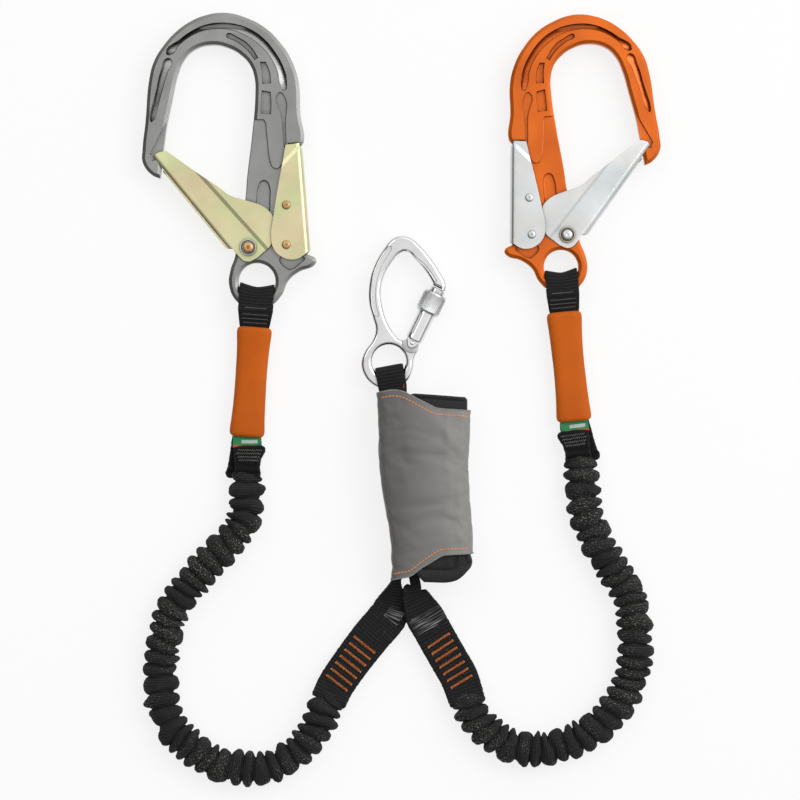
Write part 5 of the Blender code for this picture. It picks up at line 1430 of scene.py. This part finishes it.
def make_elastic(tag, seed):
    """A gathered tube of uneven ribs, whose two ends run into the cuff and the leg."""
    facts = ELASTIC[tag]
    ribs = facts["ribs"]
    knots = [Vector((x, y, ELASTIC_Z)) for x, y in facts["route"]]
    core, length = even_route(knots, ribs * 4 + 1)
    lead, tail = [a + (a - b).normalized() * ELASTIC_TUCK
                  for a, b in (knots[:2], knots[:-3:-1])]
    count = ribs * RIB_ROWS + 1
    points, total = even_route([lead, *knots, tail], count)
    rng = random.Random(seed)
    widths = [rng.uniform(0.78, 1.25) for _ in range(ribs)]
    edges = [0.0]
    whole = sum(widths)
    for width in widths:
        edges.append(edges[-1] + width / whole * ribs)
    tilt, bow, grow, slip = [
        [rng.uniform(low, high) for _ in range(ribs)]
        for low, high in ((-0.30, 0.30), (-0.20, 0.20), (0.97, 1.07), (-1.1, 1.1))]
    rings = []
    for index, point in enumerate(points):
        run = (points[min(index + 1, count - 1)] - points[max(index - 1, 0)]).normalized()
        across = Vector((run.y, -run.x, 0.0))
        at = index / RIB_ROWS
        inside = min(index, count - 1 - index) * total / (count - 1)
        full = min(1.0, inside / 15.0)
        full = full * full * (3.0 - 2.0 * full)
        ring = []
        for k in range(RIB_SIDES):
            angle = 2 * math.pi * k / RIB_SIDES
            c, s = math.cos(angle), math.sin(angle)
            rib = min(ribs - 2, max(0, int(at - 0.5)))
            mix = clamp(at - 0.5 - rib)
            lean = sum((tilt[at_rib] * c + bow[at_rib] * c * c) * part
                       for at_rib, part in ((rib, 1 - mix), (rib + 1, mix)))
            wander = cloud(c * 1.2, s * 1.2, at * 0.5 + seed * 13.0)
            local = min(ribs - 1e-4, max(0.0, at + lean + wander * 0.22))
            cell = 0
            while cell < ribs - 1 and edges[cell + 1] < local:
                cell += 1
            phase = (local - edges[cell]) / (edges[cell + 1] - edges[cell])
            crown = math.sqrt(max(0.0, 1.0 - ((2.0 * phase - 1.0) / RIB_SHARE) ** 2))
            size = grow[cell] * (RIB_VALLEY + (1.0 - RIB_VALLEY) * crown)
            size += 0.030 * crown * cloud(c * 2.3 + seed, s * 2.3, at * 2.6)
            size += 0.012 * crown * math.cos(phase * 2 * math.pi * 3.5 + wander * 6.0)
            radius = ELASTIC_W / 2 * size
            spot = point + across * (radius * c * (0.84 + 0.16 * full) + slip[cell] * full)
            high = radius * s * ELASTIC_FLAT * (0.42 + 0.58 * full)
            spot.z = max(spot.z + high * (1.0 - max(0.0, -s) * 0.04), 0.15)
            ring.append(spot + SHIFT)
        rings.append(ring)
    reach = [total * i / (count - 1) for i in range(count)]
    girth = [2 * math.pi * ELASTIC_W / 2 * k / RIB_SIDES for k in range(RIB_SIDES + 1)]
    mesh = loft_mesh(rings, girth, reach)
    leg = new_piece(f"{tag}_gathered_leg", mesh, GATHERED,
                    [f"{tag}_elastic_webbing", f"{tag}_elastic_core"], 70.0)
    return core[-1], (core[-1] - core[-2]).normalized()


# Leg webbing from the absorber to each elastic leg: centre, side vector and width of rows
LEG_T = 5.6
LEG_ROWS = {
    "left": [((-2.4, -170.4, 15.0), (1.0, 0.0), 7.6), ((-3.6, -177.4, 12.0), (1.0, 0.0), 8.2),
             ((-4.6, -182.4, 9.4), (0.96, -0.28), 12.5), ((-5.6, -189.0, 6.6), (0.88, -0.47), 20.5),
             ((-7.0, -196.2, 4.6), (0.83, -0.55), 27.5), ((-9.6, -204.4, 4.2), (0.81, -0.59), 31.0),
             ((-15.6, -212.4, 5.0), (0.81, -0.59), 31.2),
             ((-23.9, -221.8, 6.6), (0.81, -0.59), 31.0),
             ((-40.1, -242.9, 8.2), (0.81, -0.59), 30.0),
             ((-52.0, -260.5, 8.6), (0.83, -0.56), 29.5)],
    "right": [((9.8, -170.4, 16.0), (1.0, 0.1), 7.8), ((11.6, -177.6, 14.4), (1.0, 0.1), 8.4),
              ((12.0, -181.6, 13.6), (1.0, 0.1), 9.6), ((11.0, -183.6, 13.2), (1.0, 0.1), 17.0),
              ((11.0, -186.0, 12.8), (1.0, 0.1), 19.6),
              ((13.4, -192.6, 11.6), (0.98, 0.20), 24.0),
              ((18.2, -203.4, 10.6), (0.87, 0.49), 30.2),
              ((24.4, -214.2, 9.6), (0.87, 0.49), 30.5), ((30.7, -225.6, 8.6), (0.87, 0.49), 30.5),
              ((38.9, -240.0, 8.2), (0.87, 0.49), 30.5), ((47.1, -254.7, 8.6), (0.87, 0.49), 30.5)],
}
LEG_END_W = 29.0
# First and last bar tack of each leg, as pairs of end points on the plan
BAR_TACKS = {
    "left": (((-37.65, -220.5), (-21.3, -233.7)), ((-59.6, -251.1), (-43.3, -263.9))),
    "right": (((21.55, -229.2), (38.35, -217.9)), ((40.0, -261.4), (56.3, -251.6))),
}
TACK_COUNT = 7
# Worn places: leg, centre, direction along the webbing, half length and half width
WORN_PATCHES = [("right", (22.6, -208.4), (0.49, -0.87), 7.2, 14.6),
                ("left", (-4.6, -203.8), (-0.59, -0.81), 6.0, 6.5)]


def make_leg(tag, seed):
    end, run = make_elastic(tag, seed)
    rows = [(centre, (*side, 0.0), width) for centre, side, width in LEG_ROWS[tag]]
    rows.append((end - run * 1.6, (run.y, -run.x, 0.0), LEG_END_W))

    def swell(to_end):
        near = max(0.0, 1.0 - to_end / 16.0)
        tip = min(1.0, to_end / 3.0)
        tip = math.sqrt(max(0.06, 1.0 - (1.0 - tip) ** 2))
        return (1.0 + 0.5 * near * near * (3 - 2 * near)) * tip, 0.90 + 0.10 * tip

    mesh = strap_mesh(rows, LEG_T, 28, 0.8, 0.45, seed, True, swell)
    leg = new_piece(f"{tag}_sewn_leg", mesh, WEBBING, [f"{tag}_leg_webbing"], 60.0)
    leg.data.materials.append(WORN)
    for patch_tag, centre, run_at, half_run, half_side in WORN_PATCHES:
        if patch_tag == tag:
            along = Vector(run_at).normalized()
            for face in leg.data.polygons:
                offset = face.center.xy / MM - Vector(centre) - SHIFT.xy
                near = abs(offset.dot(along)) < half_run
                if near and abs(offset.x * along.y - offset.y * along.x) < half_side:
                    face.material_index = 1
    tree = tree_of(leg)
    first, last = BAR_TACKS[tag]
    runs = []
    for index in range(TACK_COUNT):
        share = index / (TACK_COUNT - 1)
        a, b = (Vector(p).lerp(Vector(q), share) for p, q in zip(first, last))
        runs.append(zigzag(a, b, 1.8, 0.22, index + seed))
    for above, name in ((True, "front"), (False, "back")):
        mesh = stitched(tree, runs, 0.40, 0.20, above)
        new_piece(f"{tag}_{name}_bar_tacks", mesh, ORANGE_THREAD)


make_leg("left", 21)
make_leg("right", 34)

# Absorber: cover, inner bag, folded webbing and upper strap
POUCH_T = 33.0
POUCH_WALL = 1.4
PACK_CLEAR = 0.8
BAG_WALL = 1.2
COVER_TOP = [(-18.9, -26.6), (-11.0, -24.6), (-3.9, -23.9), (3.4, -25.6), (13.9, -31.6),
             (25.9, -38.2), (31.2, -39.0), (56.0, -40.6)]
COVER_BOTTOM = [(-8.6, -175.4), (-1.3, -173.6), (7.4, -172.3), (17.9, -163.7), (31.2, -155.0),
                (58.0, -153.8)]
COVER_LEFT = [(-176.0, -8.0), (-151.0, -6.2), (-135.0, -8.6), (-112.0, -12.6), (-96.0, -14.9),
              (-79.7, -16.9), (-47.8, -17.5), (-24.0, -18.9)]
COVER_RIGHT = [(-154.4, 57.8), (-135.8, 57.0), (-115.9, 55.1), (-97.6, 53.8), (-83.0, 53.0),
               (-61.0, 55.1), (-40.0, 55.5)]
COVER_MID_Z = POUCH_T / 2 + 0.2
BACK_MIRROR_X = 38.0
CREASE_DEPTH = 8.0
SHEET_ROUND = 210.0
SHEET_ALONG = 150.0
STITCH_END_X = 53.6
UPPER_STRAP_W = 18.5
UPPER_STRAP_DROP = 4.0
UPPER_STRAP_SHIFT = 5.5
BAG_TOP = [(-18.0, -34.0), (0.0, -30.0), (8.0, -26.5), (54.0, -29.6)]
BAG_BOTTOM = [(-8.0, -166.0), (10.0, -168.0), (14.0, -176.6), (38.0, -177.3), (46.0, -176.2),
              (52.0, -174.0), (56.0, -170.6), (58.0, -167.0)]
END_PINCH = 0.08
BACK_DROP = 7.0
BAG_POWER = 5.0
FOLD_PITCH = 4.2
FOLD_T = 2.4
FOLD_COUNT = 5
FOLD_X = 23.5
FOLD_W = 44.0
FOLD_TOP = -38.0
FOLD_BASE = -166.0
COVER_ROWS = 60
COVER_SIDES = 96
HEM_R = 0.55
RIM_HOLD = (1.0, 1.0, 0.8, 0.35, 0.1)
CLOTH_FRAMES = 20
CLOTH_GAP = 0.0006
CLOTH_SLACK = 0.03
CLOTH_FACTS = {
    "quality": 7, "mass": 0.25, "tension_stiffness": 18.0, "compression_stiffness": 12.0,
    "shear_stiffness": 6.0, "bending_stiffness": 0.35, "vertex_group_mass": "rims",
    "shrink_min": -CLOTH_SLACK, "shrink_max": -CLOTH_SLACK, "use_pressure": True,
    "uniform_pressure_force": 0.4,
}
CLOTH_SHARE = 0.6
CLOTH_LIMIT = 3.2
# Folds of the cover: two ends, half width and height
COVER_FOLDS = [
    (((4.0, -62.0), (30.0, -113.0)), 3.2, 2.4), (((-1.0, -70.0), (22.0, -115.0)), 3.2, -0.9),
    (((25.0, -42.0), (42.0, -66.0)), 3.2, 1.5), (((2.0, -136.0), (29.0, -149.0)), 3.2, -0.9),
    (((8.0, -144.0), (26.0, -153.0)), 2.6, 1.2), (((28.0, -130.0), (35.0, -149.0)), 2.6, 1.3),
    (((36.0, -121.0), (43.0, -138.0)), 2.2, -0.8),
]


def level(table, at):
    """A value read from (place, value) pairs, straight between them."""
    if at <= table[0][0]:
        return table[0][1]
    for (x0, y0), (x1, y1) in zip(table, table[1:]):
        if at <= x1:
            return y0 + (y1 - y0) * (at - x0) / (x1 - x0)
    return table[-1][1]


def rounded(table, at, reach=3.0):
    """The table's value with its corners rounded over the reach."""
    return sum(level(table, at + reach * k / 2) for k in (-2, -1, 0, 1, 2)) / 5


def ridge(x, y, line, width, high):
    """The height that a soft fold along a line adds at a point."""
    a, b = Vector(line[0]), Vector(line[1])
    run = (b - a).normalized()
    offset = Vector((x, y)) - a
    along = offset.dot(run) / (b - a).length
    away = (offset.x * run.y - offset.y * run.x) / width
    taper = math.sin(math.pi * along) if 0.0 < along < 1.0 else 0.0
    return high * max(0.0, taper) ** 0.7 * bell(away, 1.0)


def cover_form(x, y, cx, cz, _from_top, _to_bottom):
    """The slow waves of the cover, before it settles."""
    x_seen = x if cz > 0 else BACK_MIRROR_X - x
    slant = Vector((x * 0.045 + y * 0.022, y * 0.014 - x * 0.008, cz * 0.8 + 1.7))
    rise = 0.7 * (cloud(*slant) + 0.5 * cloud(*(slant * 2.3)))
    rise += 0.30 * math.sin(x_seen * 0.55) * clamp((x_seen - 18.0) / 12.0)
    return 0.3 * cloud(y * 0.05, cx, 5.7), rise


def inner_bag_form(x, y, cx, cz, from_top, to_bottom):
    """The bag's rolled top edge, puckers at its foot, sewn seam and puffed bottom."""
    rise = 0.35 * cloud(x * 0.06, y * 0.04, cz + 8.2)
    rise -= 1.0 * bell(from_top - 3.1, 0.6)
    rise += 0.5 * bell(from_top - 1.4, 1.2)
    rise -= 1.1 * bell(to_bottom - 10.6, 0.7)
    foot = clamp(1.0 - abs(to_bottom - 5.0) / 5.4)
    rise += 1.2 * math.sqrt(foot)
    pucker = bell(to_bottom - 16.0, 4.6)
    wave = math.sin(x * 0.85 + 0.8 * math.sin(y * 0.35 + x * 0.2))
    rise += 0.95 * pucker * wave * clamp((x - 14.0) / 8.0)
    shift = -0.28 * max(0.0, 2.8 - from_top) ** 2 - 0.16 * max(0.0, 4.6 - to_bottom) ** 2
    shift += 1.7 * bell(to_bottom - 8.0, 4.6)
    return cx * shift, rise


def bag_mesh(top, bottom, inset, rows, sides, form):
    """An open fabric tube round the absorber, and the rings of points at its two ends."""
    left, right = COVER_LEFT, COVER_RIGHT
    y_mid = (left[0][0] + left[-1][0]) / 2
    y_half = (left[-1][0] - left[0][0]) / 2
    rings = []
    for index in range(rows + 1):
        share = index / rows
        ring = []
        for cx, cz in section(1.0, 1.0, sides, BAG_POWER):
            x_guess = (left[-1][1] + right[-1][1]) / 2 + cx * (right[-1][1] - left[-1][1]) / 2
            x_low = (left[0][1] + right[0][1]) / 2 + cx * (right[0][1] - left[0][1]) / 2
            y_top = rounded(top, x_guess) - BACK_DROP * max(0.0, -cz)
            y_low = rounded(bottom, x_low)
            y = y_top * (1 - share) + y_low * share
            low = rounded(left, y, 8.0) + inset
            high = rounded(right, y, 8.0) - inset
            x = (low + high) / 2 + cx * (high - low) / 2
            puff = 1.0 - END_PINCH * abs((y - y_mid) / y_half) ** 3
            shift, rise = form(x, y, cx, cz, y_top - y, y - y_low)
            face = math.copysign(1.0, cz) * min(1.0, abs(cz) * 1.4)
            x += shift
            z = (POUCH_T / 2 * puff - inset) * cz + rise * face
            ring.append(Vector((x, y, COVER_MID_Z + z)) + SHIFT)
        rings.append(ring)
    reach = [SHEET_ALONG * r / rows for r in range(rows + 1)]
    girth = [SHEET_ROUND * k / sides for k in range(sides + 1)]
    return loft_mesh(rings, girth, reach, caps=False), rings[0], rings[-1]


def creased(mesh):
    """Presses the slanted folds of the photograph into both faces of the settled cover."""
    for vert in mesh.vertices:
        spot = vert.co / MM - SHIFT
        depth = (spot.z - COVER_MID_Z) / CREASE_DEPTH
        x_seen = spot.x if depth > 0 else BACK_MIRROR_X - spot.x
        rise = sum(ridge(x_seen, spot.y, *fold) for fold in COVER_FOLDS)
        vert.co.z = max(vert.co.z + clamp(depth, -1.0) * rise * MM, 0.0)
    return mesh


def walled(mesh, wall, finer=False):
    """Gives a fabric tube a wall, inward, after a smoothing subdivision if asked."""
    if finer:
        mesh = modified(mesh, "SUBSURF", levels=1, render_levels=1)
    return modified(mesh, "SOLIDIFY", thickness=wall * MM, offset=-1.0, use_even_offset=True)


def settled(mesh, filling, sides):
    """The tube after it has settled as cloth round its filling; its two rims are held."""
    count = len(mesh.vertices)
    start = [v.co.copy() for v in mesh.vertices]
    holder = linked("cover", mesh.copy())
    held = holder.vertex_groups.new(name="rims")
    for index in range(count):
        row = index // sides
        rim = min(row, count // sides - 1 - row)
        if rim < len(RIM_HOLD):
            held.add([index], RIM_HOLD[rim], "REPLACE")
    solid = linked("filling", filling.copy())
    solid.modifiers.new("touch", "COLLISION")
    solid.collision.thickness_outer = CLOTH_GAP
    cloth = holder.modifiers.new("cloth", "CLOTH")
    for key, value in CLOTH_FACTS.items():
        setattr(cloth.settings, key, value)
    cloth.settings.effector_weights.gravity = 0.0
    cloth.collision_settings.distance_min = CLOTH_GAP
    cloth.point_cache.frame_start = 1
    cloth.point_cache.frame_end = CLOTH_FRAMES
    for frame_no in range(1, CLOTH_FRAMES + 1):
        SCENE.frame_set(frame_no)
    made = evaluated(holder)
    bpy.data.objects.remove(solid, do_unlink=True)
    SCENE.frame_set(1)
    for vert, before in zip(made.vertices, start):
        move = (vert.co - before) * CLOTH_SHARE
        if move.length > CLOTH_LIMIT * MM:
            move = move.normalized() * CLOTH_LIMIT * MM
        vert.co = before + move
    return made


def make_absorber():
    bag, _, _ = bag_mesh(BAG_TOP, BAG_BOTTOM, POUCH_WALL + PACK_CLEAR, 130, 120, inner_bag_form)
    shell, *rims = bag_mesh(COVER_TOP, COVER_BOTTOM, 0.0, COVER_ROWS, COVER_SIDES, cover_form)
    shell = settled(shell, bag, COVER_SIDES)
    cover = new_piece("pack_cover", walled(creased(shell), POUCH_WALL, True), COVER_CLOTH,
                      ["absorber_cover"], 60.0)
    new_piece("pack_inner_bag", walled(bag, BAG_WALL), BAG_CLOTH, ["absorber_inner_sleeve"], 60.0)
    # Painted highlight: a pale bead round each rim of the cover, standing in for light on its
    # edges.
    hems = [tube_mesh([p + Vector((0.0, 0.0, 0.3 if p.z < COVER_MID_Z else -0.3)) for p in ring],
                      HEM_R, 2, True) for ring in rims]
    new_piece("cover_hem_painted_highlight", joined(hems), HEM_HIGHLIGHT)
    tree = tree_of(cover)
    for above, name in ((True, "front"), (False, "back")):
        runs = []
        for line, inside in ((COVER_TOP, -4.6), (COVER_BOTTOM, 4.4)):
            drop = 0.0 if above or line is COVER_BOTTOM else -BACK_DROP * 0.95
            x_low = -15.6 if line is COVER_TOP else -5.6
            across = [x_low + (STITCH_END_X - x_low) * k / 120 for k in range(121)]
            spots = [(x + SHIFT.x, rounded(line, x) + inside + drop + SHIFT.y) for x in across]
            runs += dashes(spots, 1.9, 0.9)
        mesh = stitched(tree, runs, 0.36, 0.06, above)
        new_piece(f"cover_{name}_stitches", mesh, ORANGE_THREAD)

    rows = []
    for fold in range(FOLD_COUNT):
        z = COVER_MID_Z + FOLD_PITCH * (fold - (FOLD_COUNT - 1) / 2)
        ends = (FOLD_BASE, FOLD_TOP) if fold % 2 == 0 else (FOLD_TOP, FOLD_BASE)
        spots = [(ends[0] + (ends[1] - ends[0]) * share, z) for share in (0.0, 0.5, 1.0)]
        if fold < FOLD_COUNT - 1:
            out = 1 if ends[1] == FOLD_TOP else -1
            for turn in (math.radians(angle) for angle in (-60, -30, 0, 30, 60)):
                spots.append((ends[1] + out * FOLD_PITCH / 2 * math.cos(turn),
                              z + FOLD_PITCH / 2 * (1.0 + math.sin(turn))))
        rows += [((FOLD_X, y, level_z), (1.0, 0.0, 0.0), FOLD_W) for y, level_z in spots]
    mesh = strap_mesh(rows, FOLD_T, 12, 4.0, 0.1, 5)
    new_piece("pack_folded_webbing", mesh, WEBBING, ["absorber_tear_webbing"], 60.0)

    high = CARA_T / 2 + STRAP_CLEAR + STRAP_T / 2
    apex = Vector((CARA_EYE[0], CARA_EYE[1] - UPPER_STRAP_DROP))
    start = Vector((CARA_EYE[0] + UPPER_STRAP_SHIFT,
                    FOLD_TOP + FOLD_PITCH / 2 + FOLD_T / 2 + 0.9))
    start.y -= 15.5 / 2 * UPPER_STRAP_SHIFT / (apex - start).length
    length = (apex - start).length
    width = strap_width(CARA_EYE_R, UPPER_STRAP_DROP, high, CARA_T / 2)
    rows = loop_rows(start, apex, [(length, STRAP_T / 2 + 0.6)], CARA_EYE_R + 3.3, high,
                     COVER_MID_Z, CARA_MID_Z, UPPER_STRAP_W, width * 1.14, length)
    mesh = strap_mesh(rows, STRAP_T, 12, 1.0, 0.1, 12)
    strap = new_piece("carabiner_loop", mesh, WEBBING, ["absorber_upper_strap"], 60.0)
    loose_end = [(1.9, -18.6), (2.2, -19.8), (1.6, -21.0), (2.1, -22.0)]
    mesh = stitched(tree_of(strap), [loose_end], 0.3, 0.25)
    new_piece("loose_red_thread", mesh, RED_THREAD)


make_absorber()
